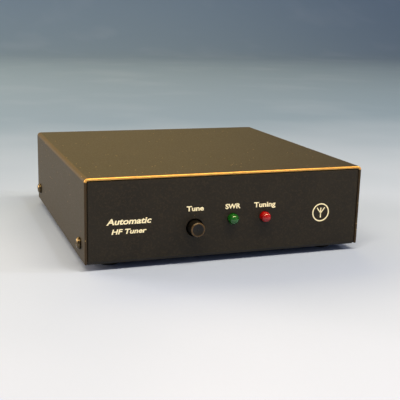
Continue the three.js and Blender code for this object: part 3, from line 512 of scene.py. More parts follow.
def add_piece(name, mesh, finish, stands_for=(), body="case"):
    """Puts a finished mesh, in millimetres, on the frame as a piece of the tuner."""
    mesh.transform(Matrix.Scale(MM, 4))
    mesh.name = name
    if not any(mesh.materials):
        mesh.materials.clear()
        mesh.materials.append(FINISHES[finish])
    piece = link(name, mesh)
    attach(piece, body)
    if stands_for:
        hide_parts(*stands_for)
    return piece


def arc(centre, radius, start, end, steps):
    """Points along an arc, in degrees, both ends included."""
    points = []
    for i in range(steps + 1):
        angle = math.radians(start + (end - start) * i / steps)
        points.append((centre[0] + radius * math.cos(angle), centre[1] + radius * math.sin(angle)))
    return points


def softened(points, radius, steps=3, keep_ends=True):
    """An outline with its corners rounded off, all or all but the first and last."""
    result = []
    count = len(points)
    for i, point in enumerate(points):
        here = Vector(point)
        if keep_ends and i in (0, count - 1):
            result.append(tuple(here))
            continue
        back = Vector(points[i - 1]) - here
        ahead = Vector(points[(i + 1) % count]) - here
        reach = min(radius, back.length * 0.45, ahead.length * 0.45)
        start = here + back.normalized() * reach
        end = here + ahead.normalized() * reach
        for step in range(steps + 1):
            t = step / steps
            result.append(tuple(start.lerp(here, t).lerp(here.lerp(end, t), t)))
    return result


def turned(profile, segments=48, closed=False):
    """A solid of revolution about Z. The profile holds (radius, height) pairs; it starts
    and ends on the axis, or closes on itself."""
    shape = bmesh.new()
    rings = []
    for radius, height in profile:
        if radius < 1e-6:
            rings.append([shape.verts.new((0, 0, height))])
            continue
        ring = []
        for i in range(segments):
            angle = TAU * i / segments
            x, y = radius * math.cos(angle), radius * math.sin(angle)
            ring.append(shape.verts.new((x, y, height)))
        rings.append(ring)
    pairs = list(zip(rings, rings[1:]))
    if closed:
        pairs.append((rings[-1], rings[0]))
    for lower, upper in pairs:
        for i in range(segments):
            j = (i + 1) % segments
            corners = [lower[i % len(lower)], lower[j % len(lower)]]
            corners += [upper[j % len(upper)], upper[i % len(upper)]]
            face = list(dict.fromkeys(corners))
            if len(face) > 2:
                shape.faces.new(face)
    return to_mesh("turned", shape)


def soft_block(low, high, radius=0.2, steps=2):
    """A block with rounded edges, from its lowest corner to its highest."""
    shape = bmesh.new()
    low, high = Vector(low), Vector(high)
    size = high - low
    bmesh.ops.create_cube(shape, size=1.0)
    bmesh.ops.scale(shape, vec=size, verts=shape.verts)
    bmesh.ops.translate(shape, vec=(low + high) / 2, verts=shape.verts)
    if radius:
        bmesh.ops.bevel(
            shape,
            geom=list(shape.edges),
            offset=min(radius, 0.45 * min(size)),
            segments=steps,
            profile=0.5,
            affect="EDGES",
        )
    return to_mesh("block", shape)


def rounded_section(low, high, radius, steps):
    """Corners of a rounded rectangle in (across, depth), anticlockwise."""
    corners = [
        (high[0] - radius, high[1] - radius, 0),
        (low[0] + radius, high[1] - radius, 90),
        (low[0] + radius, low[1] + radius, 180),
        (high[0] - radius, low[1] + radius, 270),
    ]
    points = []
    for across, depth, start in corners:
        points += arc((across, depth), radius, start, start + 90, steps)
    return points


def skinned(name, shape, rings):
    """A mesh with walls from each ring of points to the next and a cap at each end."""
    for first, second in zip(rings, rings[1:]):
        for i in range(len(first)):
            j = (i + 1) % len(first)
            shape.faces.new((first[i], first[j], second[j], second[i]))
    shape.faces.new(rings[0])
    shape.faces.new(rings[-1])
    return to_mesh(name, shape)


def bent_sheet(path, across, place_point):
    """Sheet metal that follows a path of straight runs with a bend at each corner.
    The path is the sheet's outer line and turns left. across is the lowest and highest
    place along the bends, and place_point turns (u, v, across) into a point."""
    outside = BEND_INSIDE + SHEET
    stations = []  # point on the outer line, inward direction, inset of the section
    for i, corner in enumerate(path):
        here = Vector(corner)
        if i in (0, len(path) - 1):
            ahead = (Vector(path[1]) - here) if i == 0 else (here - Vector(path[-2]))
            along = ahead.normalized()
            inward = Vector((-along.y, along.x))
            rounding = []
            for step in range(EDGE_STEPS + 1):
                reach = CUT_EDGE * (1 - math.cos(math.pi / 2 * step / EDGE_STEPS))
                inset = CUT_EDGE - math.sqrt(max(0, CUT_EDGE**2 - (CUT_EDGE - reach) ** 2))
                rounding.append((reach, inset))
            if i == 0:
                stations += [(here + along * reach, inward, inset) for reach, inset in rounding]
            else:
                stations += [
                    (here - along * reach, inward, inset) for reach, inset in reversed(rounding)
                ]
            continue
        run_in = (here - Vector(path[i - 1])).normalized()
        run_out = (Vector(path[i + 1]) - here).normalized()
        inward_in = Vector((-run_in.y, run_in.x))
        inward_out = Vector((-run_out.y, run_out.x))
        centre = here - run_in * outside + inward_in * outside
        for step in range(BEND_STEPS + 1):
            angle = math.pi / 2 * step / BEND_STEPS
            inward = inward_in * math.cos(angle) + inward_out * math.sin(angle)
            stations.append((centre - inward * outside, inward, 0.0))
    shape = bmesh.new()
    rings = []
    for point, inward, inset in stations:
        section = rounded_section(
            (across[0] + inset, inset),
            (across[1] - inset, SHEET - inset),
            max(CUT_EDGE - inset, 1e-4),
            EDGE_STEPS,
        )
        ring = []
        for w, depth in section:
            flat = point + inward * depth
            ring.append(shape.verts.new(place_point(flat.x, flat.y, w)))
        rings.append(ring)
    return skinned("sheet", shape, rings)


def hole(radius, depth, edge=HOLE_EDGE, segments=48):
    """A cutter along Z for a hole through a sheet whose outer face is at z = 0 and whose
    inner face is at z = -depth, with its edges rounded off."""
    past = 0.6
    profile = [(0, -depth - past), (radius + edge, -depth - past)]
    for step in range(EDGE_STEPS + 1):
        angle = math.pi / 2 * step / EDGE_STEPS
        out, up = edge * (1 - math.sin(angle)), edge * (1 - math.cos(angle))
        profile.append((radius + out, -depth + up))
    for step in range(EDGE_STEPS + 1):
        angle = math.pi / 2 * (1 - step / EDGE_STEPS)
        profile.append((radius + edge * (1 - math.sin(angle)), -edge * (1 - math.cos(angle))))
    profile += [(radius + edge, past), (0, past)]
    return turned(profile, segments)


# ------------------------------------------------------------------ repeated things


class Tree:
    """A Geometry Nodes tree under construction, with named inputs and one mesh output."""

    def __init__(self, name):
        self.group = bpy.data.node_groups.new(name, "GeometryNodeTree")
        self.group.interface.new_socket(
            "Geometry", in_out="OUTPUT", socket_type="NodeSocketGeometry"
        )
        self.entry = self.group.nodes.new("NodeGroupInput")
        self.exit = self.group.nodes.new("NodeGroupOutput")

    def input(self, name, kind="Float"):
        self.group.interface.new_socket(name, in_out="INPUT", socket_type=f"NodeSocket{kind}")
        return self.entry.outputs[name]

    def add(self, kind, inputs=None, **settings):
        node = self.group.nodes.new(kind)
        for key, value in settings.items():
            setattr(node, key, value)
        for socket, value in (inputs or {}).items():
            if isinstance(value, bpy.types.NodeSocket):
                self.group.links.new(value, node.inputs[socket])
            else:
                node.inputs[socket].default_value = value
        return node

    def math(self, operation, a, b=0.0):
        return self.add("ShaderNodeMath", {0: a, 1: b}, operation=operation).outputs[0]

    def vector(self, x, y, z):
        return self.add("ShaderNodeCombineXYZ", {0: x, 1: y, 2: z}).outputs[0]

    def finish_with(self, geometry):
        """Ends the tree: instances made real, and the material set."""
        material = self.input("Material", "Material")
        real = self.add("GeometryNodeRealizeInstances", {"Geometry": geometry})
        painted = self.add(
            "GeometryNodeSetMaterial", {"Geometry": real.outputs[0], "Material": material}
        )
        self.group.links.new(painted.outputs[0], self.exit.inputs[0])
        return self.group


def grown(tree, **values):
    """The plain mesh that a tree makes with its named inputs set."""
    carrier = link("carrier", bpy.data.meshes.new("carrier"))
    modifier = carrier.modifiers.new("grow", "NODES")
    modifier.node_group = tree
    for socket in tree.interface.items_tree:
        name = socket.name.replace(" ", "_")
        if socket.in_out == "INPUT" and name in values:
            modifier[socket.identifier] = values[name]
    mesh = evaluated_mesh(carrier)
    discard(carrier)
    return shaded(mesh)


def grid_tree():
    """Copies of a part on a grid of places across X and Y, or across X and Z when
    Upright is 1. Mirror turns the copies on the right-hand side half round."""
    tree = Tree("copies_on_a_grid")
    part = tree.input("Part", "Object")
    count_x, count_y = tree.input("Count X", "Int"), tree.input("Count Y", "Int")
    pitch_x, pitch_y = tree.input("Pitch X"), tree.input("Pitch Y")
    upright, mirror = tree.input("Upright"), tree.input("Mirror")
    wide = tree.math("MULTIPLY", tree.math("SUBTRACT", count_x, 1.0), pitch_x)
    deep = tree.math("MULTIPLY", tree.math("SUBTRACT", count_y, 1.0), pitch_y)
    grid = tree.add(
        "GeometryNodeMeshGrid",
        {"Size X": wide, "Size Y": deep, "Vertices X": count_x, "Vertices Y": count_y},
    )
    lean = tree.vector(tree.math("MULTIPLY", upright, math.pi / 2), 0.0, 0.0)
    leaned = tree.add(
        "GeometryNodeTransform", {"Geometry": grid.outputs["Mesh"], "Rotation": lean}
    )
    place = tree.add("GeometryNodeInputPosition")
    across = tree.add("ShaderNodeSeparateXYZ", {0: place.outputs[0]}).outputs["X"]
    right = tree.math("GREATER_THAN", across, 0.0)
    half_turn = tree.math("MULTIPLY", tree.math("MULTIPLY", right, mirror), math.pi)
    source = tree.add("GeometryNodeObjectInfo", {"Object": part})
    copies = tree.add(
        "GeometryNodeInstanceOnPoints",
        {
            "Points": leaned.outputs[0],
            "Instance": source.outputs["Geometry"],
            "Rotation": tree.vector(0.0, 0.0, half_turn),
        },
    )
    return tree.finish_with(copies.outputs[0])


def winding_tree():
    """Wire wound round a ring about the Y axis, through an arc that leaves a gap at the
    bottom for its leads. The wound section is a rounded rectangle."""
    tree = Tree("wire_round_a_ring")
    turns, arc_share = tree.input("Turns"), tree.input("Arc Share")
    wire, ring = tree.input("Wire Radius"), tree.input("Ring Radius")
    half_depth, half_width = tree.input("Half Depth"), tree.input("Half Width")
    line = tree.add("GeometryNodeCurvePrimitiveLine")
    points = tree.math("MULTIPLY", turns, 20.0)
    run = tree.add("GeometryNodeResampleCurve", {"Curve": line.outputs[0], "Count": points})
    factor = tree.add("GeometryNodeSplineParameter").outputs["Factor"]
    centred = tree.math("SUBTRACT", factor, 0.5)
    around = tree.math("MULTIPLY", tree.math("MULTIPLY", centred, arc_share), TAU)
    lap = tree.math("MULTIPLY", tree.math("MULTIPLY", factor, turns), TAU)

    def squared(wave):
        """A circle's coordinate pushed out towards a square's."""
        pushed = tree.math("MULTIPLY", wave, 1.3)
        return tree.math("MAXIMUM", tree.math("MINIMUM", pushed, 1.0), -1.0)

    out = tree.math("MULTIPLY", squared(tree.math("COSINE", lap)), half_depth)
    along = tree.math("MULTIPLY", squared(tree.math("SINE", lap)), half_width)
    radius = tree.math("ADD", ring, out)
    x = tree.math("MULTIPLY", tree.math("SINE", around), radius)
    z = tree.math("MULTIPLY", tree.math("COSINE", around), radius)
    wound = tree.add(
        "GeometryNodeSetPosition",
        {"Geometry": run.outputs[0], "Position": tree.vector(x, along, z)},
    )
    section = tree.add("GeometryNodeCurvePrimitiveCircle", {"Resolution": 8, "Radius": wire})
    body = tree.add(
        "GeometryNodeCurveToMesh",
        {"Curve": wound.outputs[0], "Profile Curve": section.outputs[0], "Fill Caps": True},
    )
    return tree.finish_with(body.outputs[0])


def spring_tree():
    """A coil spring along Z with its two end turns closed up."""
    tree = Tree("coil_spring")
    turns, length = tree.input("Turns"), tree.input("Length")
    radius, wire = tree.input("Radius"), tree.input("Wire Radius")
    line = tree.add("GeometryNodeCurvePrimitiveLine")
    run = tree.add("GeometryNodeResampleCurve", {"Curve": line.outputs[0], "Count": 160})
    factor = tree.add("GeometryNodeSplineParameter").outputs["Factor"]
    angle = tree.math("MULTIPLY", tree.math("MULTIPLY", factor, turns), TAU)
    eased = tree.add(
        "ShaderNodeMapRange",
        {"Value": factor, "From Min": 0.14, "From Max": 0.86},
        interpolation_type="LINEAR",
    ).outputs["Result"]
    lean = tree.math("MULTIPLY", tree.math("SUBTRACT", factor, 0.5), wire)
    rise = tree.math("ADD", tree.math("MULTIPLY", eased, length), lean)
    place = tree.vector(
        tree.math("MULTIPLY", tree.math("COSINE", angle), radius),
        tree.math("MULTIPLY", tree.math("SINE", angle), radius),
        rise,
    )
    coiled = tree.add("GeometryNodeSetPosition", {"Geometry": run.outputs[0], "Position": place})
    section = tree.add("GeometryNodeCurvePrimitiveCircle", {"Resolution": 10, "Radius": wire})
    body = tree.add(
        "GeometryNodeCurveToMesh",
        {"Curve": coiled.outputs[0], "Profile Curve": section.outputs[0], "Fill Caps": True},
    )
    return tree.finish_with(body.outputs[0])


TREES = {}


def make_trees():
    TREES.update(grid=grid_tree(), winding=winding_tree(), spring=spring_tree())


def on_grid(part, finish, count, pitch, upright=0.0, mirror=0.0):
    """Copies of a part mesh, already in its own place, on a grid round the origin."""
    source = link("part", part)
    mesh = grown(
        TREES["grid"],
        Part=source,
        Count_X=count[0],
        Count_Y=count[1],
        Pitch_X=pitch[0],
        Pitch_Y=pitch[1],
        Upright=upright,
        Mirror=mirror,
        Material=FINISHES[finish],
    )
    discard(source)
    return mesh


# ------------------------------------------------------------------ case

FLANGE_RISE = 12.6
CORNER_RELIEF = 1.6
SCREW_HOLE = 1.52  # radius, as are the others
BUTTON_HOLE = 4.25
LAMP_HOLE = 2.62
SOCKET_HOLE = 6.6
GROUND_HOLE = 2.2
POWER_JACK_HOLE = 4.3
CONTROL_JACK_HOLE = 3.25
SCREW_HOLE_EDGE = 0.1
COVER_SCREWS = [
    f"cover_screw_{end}_{hand}" for end in ("front", "rear") for hand in ("left", "right")
]


def side_screw_places():
    """Where the cover screws' axes cross the two side walls: (y, z) of each."""
    return [
        (node_centre(f"cover_screw_{end}_left").y, node_centre(f"cover_screw_{end}_left").z)
        for end in ("front", "rear")
    ]


def side_cutters(half_width):
    cutters = []
    for y, z in side_screw_places():
        for side in (-1, 1):
            here = facing((side, 0, 0), (side * half_width, y, z))
            cutters.append(placed(hole(SCREW_HOLE, SHEET, SCREW_HOLE_EDGE), here))
    return cutters


def paint_edge_sheen(mesh):
    """Marks where the cover gets its painted highlight: all of it on the top cut edges, a little
    on the upright cut edges and the bends.
    """
    painted_sheen = mesh.attributes.new("painted_sheen", "FLOAT", "POINT")
    bend = BEND_INSIDE + SHEET
    values = []
    for vertex in mesh.vertices:
        place = vertex.co
        end = min(place.y - COVER_LOW.y, COVER_HIGH.y - place.y)
        cut = 0.0
        # The top cut edges get the whole painted highlight; the upright ones and the bends only a
        # trace.
        if end < CUT_EDGE * 0.9:
            cut = 1.0 if place.z > COVER_HIGH.z - bend else SIDE_SHEEN
        out = max(0.0, abs(place.x) - COVER_HIGH.x + bend)
        up = max(0.0, place.z - COVER_HIGH.z + bend)
        bent = BEND_SHEEN if out > 0.3 and up > 0.3 else 0.0
        values.append(max(cut, bent))
    painted_sheen.data.foreach_set("value", values)
    return mesh


def make_cover():
    path = [
        (COVER_HIGH.x, COVER_LOW.z),
        (COVER_HIGH.x, COVER_HIGH.z),
        (COVER_LOW.x, COVER_HIGH.z),
        (COVER_LOW.x, COVER_LOW.z),
    ]
    sheet = bent_sheet(path, (COVER_LOW.y, COVER_HIGH.y), lambda u, v, w: (u, w, v))
    mesh = carved(sheet, side_cutters(COVER_HIGH.x))
    add_piece("cover_shell", paint_edge_sheen(weighted(mesh)), "black_powder", ["top_cover"])


def front_cutters():
    """The button's hole and the lamps' holes."""
    cutters = []
    for radius, name in (
        (BUTTON_HOLE, "tune_button_cap"),
        (LAMP_HOLE, "swr_lamp"),
        (LAMP_HOLE, "tuning_lamp"),
    ):
        centre = node_centre(name)
        place = (centre.x, PANEL_FRONT, centre.z)
        cutters.append(placed(hole(radius, SHEET), facing((0, -1, 0), place)))
    return cutters


def rear_cutters():
    holes = []
    for socket in SOCKETS:
        holes.append((SOCKET_HOLE, f"{socket}_shell"))
        holes += [(SCREW_HOLE, f"{socket}_screw_{i + 1}") for i in range(4)]
    holes += [
        (GROUND_HOLE, "ground_post"),
        (POWER_JACK_HOLE, "power_jack_pin"),
        (CONTROL_JACK_HOLE, "control_jack_nut"),
    ]
    cutters = []
    for radius, name in holes:
        centre = node_centre(name)
        place = (centre.x, PANEL_REAR, centre.z)
        cutters.append(placed(hole(radius, SHEET), facing((0, 1, 0), place)))
    return cutters


def make_chassis():
    low, high = CHASSIS_LOW, CHASSIS_HIGH
    outside = BEND_INSIDE + SHEET
    panels = bent_sheet(
        [(low.y, high.z), (low.y, low.z), (high.y, low.z), (high.y, high.z)],
        (low.x, high.x),
        lambda u, v, w: (w, u, v),
    )
    middle = (low.y + high.y) / 2
    relief = (high.y - low.y) / 2 - outside
    flange_end = relief - CORNER_RELIEF
    tray = bent_sheet(
        [
            (low.x, low.z + FLANGE_RISE),
            (low.x, low.z),
            (high.x, low.z),
            (high.x, low.z + FLANGE_RISE),
        ],
        (middle - flange_end, middle + flange_end),
        lambda u, v, w: (u, w, v),
    )
    reliefs = []
    for side in (-1, 1):
        inner, outer = side * (high.x - outside - 0.1), side * (high.x + 1)
        reliefs.append(
            soft_block(
                (min(inner, outer), middle - relief, low.z - 1),
                (max(inner, outer), middle + relief, low.z + SHEET + 0.1),
                0,
            )
        )
    body = carved(carved(panels, reliefs), [tray], "UNION")
    cutters = front_cutters() + rear_cutters() + side_cutters(high.x)
    mesh = carved(body, cutters)
    add_piece("chassis_shell", weighted(mesh), "black_powder", ["base_chassis"])


# ------------------------------------------------------------------ screws

HEAD_RADIUS = 2.8
HEAD_HEIGHT = 1.95


def thread(radius, depth, pitch, length, segments=32, lead_in=0.5):
    """A threaded rod from z = 0 down to z = -length, closed at both ends."""
    per_turn = 8
    steps = max(4, round(length / pitch * per_turn))
    shape = bmesh.new()
    rings = []
    for step in range(steps + 1):
        height = -length * step / steps
        ring = []
        for i in range(segments):
            turn = i / segments
            phase = (height / pitch + turn) % 1.0
            groove = depth * (0.5 + 0.5 * math.cos(TAU * phase))
            fade = min(1.0, (-height) / lead_in, (length + height) / lead_in)
            r = radius - depth * (1 - max(0.0, fade)) - groove * max(0.0, fade)
            x, y = r * math.cos(TAU * turn), r * math.sin(TAU * turn)
            ring.append(shape.verts.new((x, y, height)))
        rings.append(ring)
    return skinned("thread", shape, rings)


def cross_recess(depth, width=0.85, span=2.9):
    """Cutter for a cross recess: two tapered blades and a pointed centre, top at z = 0."""
    blades = []
    for spin in (0, math.pi / 2):
        shape = bmesh.new()
        past = 0.3
        rings = []
        for z, half_span, half_width in (
            (past, span / 2 + 0.08, width / 2 + 0.03),
            (-depth * 0.55, span / 2 * 0.72, width / 2 * 0.8),
            (-depth, span / 2 * 0.28, width / 2 * 0.55),
        ):
            corners = softened(
                [
                    (half_span, -half_width),
                    (half_span, half_width),
                    (-half_span, half_width),
                    (-half_span, -half_width),
                ],
                0.12,
                2,
                keep_ends=False,
            )
            rings.append([shape.verts.new((x, y, z)) for x, y in corners])
        blade = skinned("blade", shape, rings)
        blade.transform(Matrix.Rotation(spin, 4, "Z"))
        blades.append(blade)
    return blades


def pan_head_screw(length, shank_radius=1.4, pitch=0.635):
    """A pan-head screw with its seat at z = 0: the head above, the thread below."""
    profile = [(0, 0), (HEAD_RADIUS, 0), (HEAD_RADIUS, 0.62)]
    side = softened(profile, 0.12, 2)
    dome = [
        (HEAD_RADIUS * math.cos(a) ** 0.62, 0.62 + (HEAD_HEIGHT - 0.62) * math.sin(a))
        for a in (math.radians(d) for d in range(8, 90, 8))
    ]
    head = turned([*side, *dome, (0, HEAD_HEIGHT)], 40)
    recess = cross_recess(1.1)
    for blade in recess:
        blade.transform(Matrix.Translation((0, 0, HEAD_HEIGHT)))
    head = carved(head, recess)
    shank = thread(shank_radius, 0.3, pitch, length, 24)
    return merged([weighted(head), shank])


def make_cover_screws():
    """Four black pan-head screws, two in each side of the cover."""
    low, high = node_box(*COVER_SCREWS)
    front, rear = (y for y, _ in side_screw_places())
    seat = COVER_HIGH.x + SEAT_GAP
    left = placed(pan_head_screw(4.7), facing((-1, 0, 0), spin=0.35))
    mesh = on_grid(left, "black_screw", (2, 2), (2 * seat, rear - front), mirror=1.0)
    middle = Matrix.Translation((0, (front + rear) / 2, (low.z + high.z) / 2))
    add_piece("cover_screws", placed(mesh, middle), "black_screw", COVER_SCREWS)


# ------------------------------------------------------------------ feet


def make_feet():
    """Four stick-on rubber feet with a rolled lower edge and a shallow dimple."""
    profile = [(0, 0), (6.35, 0), (6.3, -0.5), (5.6, -3.0), (2.4, -3.0), (1.9, -2.5), (0, -2.4)]
    foot = turned(softened(profile, 0.45, 4), 56)
    for end in ("front", "rear"):
        for hand in ("left", "right"):
            name = f"foot_{end}_{hand}"
            low, high = node_box(name)
            place = ((low.x + high.x) / 2, (low.y + high.y) / 2, high.z)
            mesh = placed(foot, Matrix.Translation(place))
            add_piece(f"rubber_{name}", mesh, "foot_rubber", [name])


# ------------------------------------------------------------------ tune button and lamps


def make_button():
    """The button cap: a dished face with a rolled rim and a moulding mark at its centre."""
    low, high = node_box("tune_button_cap")
    radius, length = (high.x - low.x) / 2, high.y - low.y
    dish = radius - 0.62
    face = [(0, 0.34), (0.32, 0.34), (0.42, 0.46)]
    face += [(dish * s, 0.5 * (1 - s * s) + 0.02) for s in (0.25, 0.4, 0.55, 0.7, 0.82, 0.92, 1.0)]
    rim = softened([(dish, 0.02), (radius - 0.36, 0.0), (radius, 0.4), (radius, 1.2)], 0.24, 3)
    back = softened([(radius, 2.0), (radius, length), (2.45, length)], 0.2, 2)
    socket = [(2.45, length - 4.0), (0, length - 4.0)]
    cap = turned([*face, *rim[1:], *back, *socket], 72)
    # Painted sheen all round the rim: a painted highlight, and finger wear too.
    painted_sheen = cap.attributes.new("painted_sheen", "FLOAT", "POINT")
    on_rim = [vert.co.z < 0.4 and vert.co.xy.length > dish - 0.01 for vert in cap.vertices]
    painted_sheen.data.foreach_set("value", [float(rim_vertex) for rim_vertex in on_rim])
    matrix = facing((0, 1, 0), ((low.x + high.x) / 2, low.y, (low.z + high.z) / 2))
    cap = placed(cap, matrix)
    add_piece("button_cap", cap, "button_plastic", ["tune_button_cap"], "tune_button")


def lamp_mesh(lens):
    """A 5 mm lamp: a domed lens on a flange."""
    radius, length = 2.5, 8.6
    dome = [(radius * math.sin(a), radius * (1 - math.cos(a))) for a in
            (math.radians(d) for d in range(0, 91, 9))]
    rim, rim_low = radius + 0.4, length - 1.0
    skirt = [(radius, rim_low), (rim, rim_low), (rim, length), (0, length)]
    mesh = turned([*dome, *softened(skirt, 0.12, 2)], 56)
    mesh.materials.append(FINISHES[lens])
    return mesh


def make_lamps():
    for name, lens in (("swr_lamp", "green_lens"), ("tuning_lamp", "red_lens")):
        low, high = node_box(name)
        matrix = facing((0, 1, 0), ((low.x + high.x) / 2, low.y, (low.z + high.z) / 2))
        add_piece(f"{name}_lens", placed(lamp_mesh(lens), matrix), lens, [name])


# ------------------------------------------------------------------ printed legends

INK = 0.04  # how far the ink stands on the panel
OVERPRINT = 0.09  # sideways shift that makes the letters bold
STROKE = 0.03  # how far the strokes are widened, as a share of the letters' size


def lettering(text, centre_x, baseline, width, cap_height, slant=0.0, rear=False):
    """Printed words on the front or rear panel, as a thin raised mesh."""
    words = bpy.data.curves.new("words", "FONT")
    words.body = text
    words.offset = STROKE
    words.shear = slant
    words.resolution_u = 6
    holder = link("words", words)
    mesh = evaluated_mesh(holder)
    discard(holder)
    return stretched_print(mesh, centre_x, baseline, width, cap_height, text, rear)


def stretched_print(mesh, centre_x, baseline, width, cap_height, text, rear):
    """Flat letters brought to their size and given the ink's thickness."""
    xs = [v.co.x for v in mesh.vertices]
    tops = max(v.co.y for v in mesh.vertices)
    descends = any(letter in text for letter in "gjpqy")
    lowest = 0.0 if descends else min(v.co.y for v in mesh.vertices)
    wide = width / (max(xs) - min(xs))
    tall = cap_height / (tops - lowest)
    shape = bmesh.new()
    shape.from_mesh(mesh)
    for vert in shape.verts:
        x = (vert.co.x - (max(xs) + min(xs)) / 2) * wide * (-1 if rear else 1) + centre_x
        z = (vert.co.y - lowest) * tall + baseline
        vert.co = Vector((x, 0, z))
    bmesh.ops.remove_doubles(shape, verts=shape.verts, dist=0.002)
    thicken(shape, PANEL_REAR if rear else PANEL_FRONT, INK if rear else -INK)
    thin = to_mesh("print", shape, "legend_ink")
    shifts = [Matrix.Translation((side * OVERPRINT, 0, 0)) for side in (-1, 1)]
    return carved(placed(thin, shifts[0]), [placed(thin, shifts[1])], "UNION")


def thicken(shape, start, thickness):
    """Gives a flat XZ drawing a thickness along Y from a start."""
    for vert in shape.verts:
        vert.co.y = start
    faces = list(shape.faces)
    extruded = bmesh.ops.extrude_face_region(shape, geom=faces)
    moved = [item for item in extruded["geom"] if isinstance(item, bmesh.types.BMVert)]
    bmesh.ops.translate(shape, vec=(0, thickness, 0), verts=moved)


def flat_band(points, half_width, closed=False):
    """A flat stroke of one width along some points in (x, z), as a bmesh."""
    shape = bmesh.new()
    rows = []
    count = len(points)
    for i, point in enumerate(points):
        before = Vector(points[i - 1] if closed or i else points[0])
        after = Vector(points[(i + 1) % count] if closed or i < count - 1 else points[-1])
        along = (after - before).normalized()
        side = Vector((-along.y, along.x)) * half_width
        here = Vector(point)
        rows.append([shape.verts.new((p.x, 0, p.y)) for p in (here - side, here + side)])
    pairs = list(zip(rows, rows[1:]))
    if closed:
        pairs.append((rows[-1], rows[0]))
    for (a, b), (c, d) in pairs:
        shape.faces.new((a, b, d, c))
    return shape


def antenna_mark(centre_x, centre_z, radius):
    """A plain ring around the drafting symbol for an antenna: a mast with two arms."""
    strokes = [
        (arc((centre_x, centre_z), radius - 0.3, 0, 354, 59), 0.3, True),
        (
            [(centre_x, centre_z - radius * 0.58), (centre_x, centre_z + radius * 0.52)],
            0.28,
            False,
        ),
    ]
    for side in (-1, 1):
        strokes.append(
            (
                [
                    (centre_x, centre_z - radius * 0.08),
                    (centre_x + side * radius * 0.46, centre_z + radius * 0.52),
                ],
                0.26,
                False,
            )
        )
    meshes = []
    for points, half_width, closed in strokes:
        shape = flat_band(points, half_width, closed)
        thicken(shape, PANEL_FRONT, -INK)
        meshes.append(to_mesh("stroke", shape, "legend_ink"))
    return merged(meshes)


def make_legends():
    left = COVER_LOW.x
    bottom = CHASSIS_LOW.z
    meshes = [
        lettering("Tune", left + 52.4, bottom + 22.6, 8.5, 2.45),
        lettering("SWR", left + 71.4, bottom + 22.6, 7.7, 2.45),
        lettering("Tuning", left + 87.9, bottom + 22.6, 11.2, 2.45),
        lettering("Automatic", left + 20.7, bottom + 18.35, 21.2, 2.95, 0.2),
        lettering("HF Tuner", left + 20.75, bottom + 13.9, 16.5, 2.4, 0.2),
        antenna_mark(left + 118.3, bottom + 17.9, 4.6),
    ]
    add_piece("front_legends", merged(meshes), "legend_ink")


# ------------------------------------------------------------------ coaxial sockets

FLANGE_THICKNESS = 1.6
SOCKET_MOUTH = 15.6  # from the flange's seat
SOCKET_BACK = -6.0
SOCKET_BORE_FLOOR = 5.1
BARREL_RADIUS = 7.9
NOTCH = 0.9  # depth and half width of the barrel's locking notches
BARREL_PITCH = 25.4 / 24
BARREL_THREAD_DEPTH = 0.62
SOCKET_BORE_RADIUS = 6.05
SOCKET_BOSS_RADIUS = 6.3
FLANGE_HALF = 12.7
FLANGE_CORNER = 1.6
INSULATOR_RADIUS = 4.7
INSULATOR_GAP = 0.05
CONTACT_RADIUS = 2.8
CONTACT_BORE_RADIUS = 2.05
CONTACT_END = 14.1
CONTACT_BORE_DEPTH = 9.0
CONTACT_SLIT = 0.22  # half of its width
CONTACT_SLIT_DEPTH = 6.5
TAIL_RADIUS = 1.8
TAIL_BORE = 1.15
TAIL_LENGTH = 5.5
FLANGE_SCREW_LENGTH = 5.0
FLANGE_NUT = (5.4, 1.9, 1.45)  # across flats, height, bore's radius


def rod(radius, low, high, segments=48, edge=0.15):
    """A round bar along Z with its two edges eased."""
    profile = [(0, low), (radius, low), (radius, high), (0, high)]
    return turned(softened(profile, edge, 2), segments)


def tube(outer, inner, low, high, edge=0.12, segments=48):
    profile = [(inner, low), (outer, low), (outer, high), (inner, high)]
    return turned(softened(profile, edge, 2, keep_ends=False), segments, closed=True)


def rounded_plate(half, corner, low, high):
    """A square plate about Z with its upright corners rounded and its rims eased."""
    shape = bmesh.new()
    outline = rounded_section((-half, -half), (half, half), corner, 6)
    ease = 0.16
    rings = []
    for z, inset in ((low, ease), (low + ease, 0.0), (high - ease, 0.0), (high, ease)):
        share = (half - inset) / half
        rings.append([shape.verts.new((x * share, y * share, z)) for x, y in outline])
    return skinned("plate", shape, rings)


def socket_shell(screw_reach):
    """Square flange, threaded barrel with four locking notches, and the boss behind."""
    barrel = thread(BARREL_RADIUS, BARREL_THREAD_DEPTH, BARREL_PITCH, SOCKET_MOUTH - 0.8, 64, 0.7)
    barrel.transform(Matrix.Translation((0, 0, SOCKET_MOUTH)))
    boss = rod(SOCKET_BOSS_RADIUS, SOCKET_BACK, 1.0)
    flange = rounded_plate(FLANGE_HALF, FLANGE_CORNER, 0, FLANGE_THICKNESS)
    body = carved(flange, [barrel, boss], "UNION")
    cutters = [
        rod(SOCKET_BORE_RADIUS, SOCKET_BORE_FLOOR, SOCKET_MOUTH + 2, 64, 0.3),
        rod(INSULATOR_RADIUS + INSULATOR_GAP, SOCKET_BACK - 2, SOCKET_BORE_FLOOR + 0.5),
    ]
    for step in range(4):
        notch = soft_block(
            (-NOTCH, BARREL_RADIUS - 2.6, SOCKET_MOUTH - NOTCH),
            (NOTCH, BARREL_RADIUS + 1, SOCKET_MOUTH + 1),
            0.2,
        )
        notch.transform(Matrix.Rotation(math.pi / 4 + step * math.pi / 2, 4, "Z"))
        cutters.append(notch)
    for x in (-screw_reach, screw_reach):
        for y in (-screw_reach, screw_reach):
            screw_hole = rod(SCREW_HOLE, -1, FLANGE_THICKNESS + 1, 24)
            cutters.append(placed(screw_hole, Matrix.Translation((x, y, 0))))
    return weighted(carved(body, cutters))


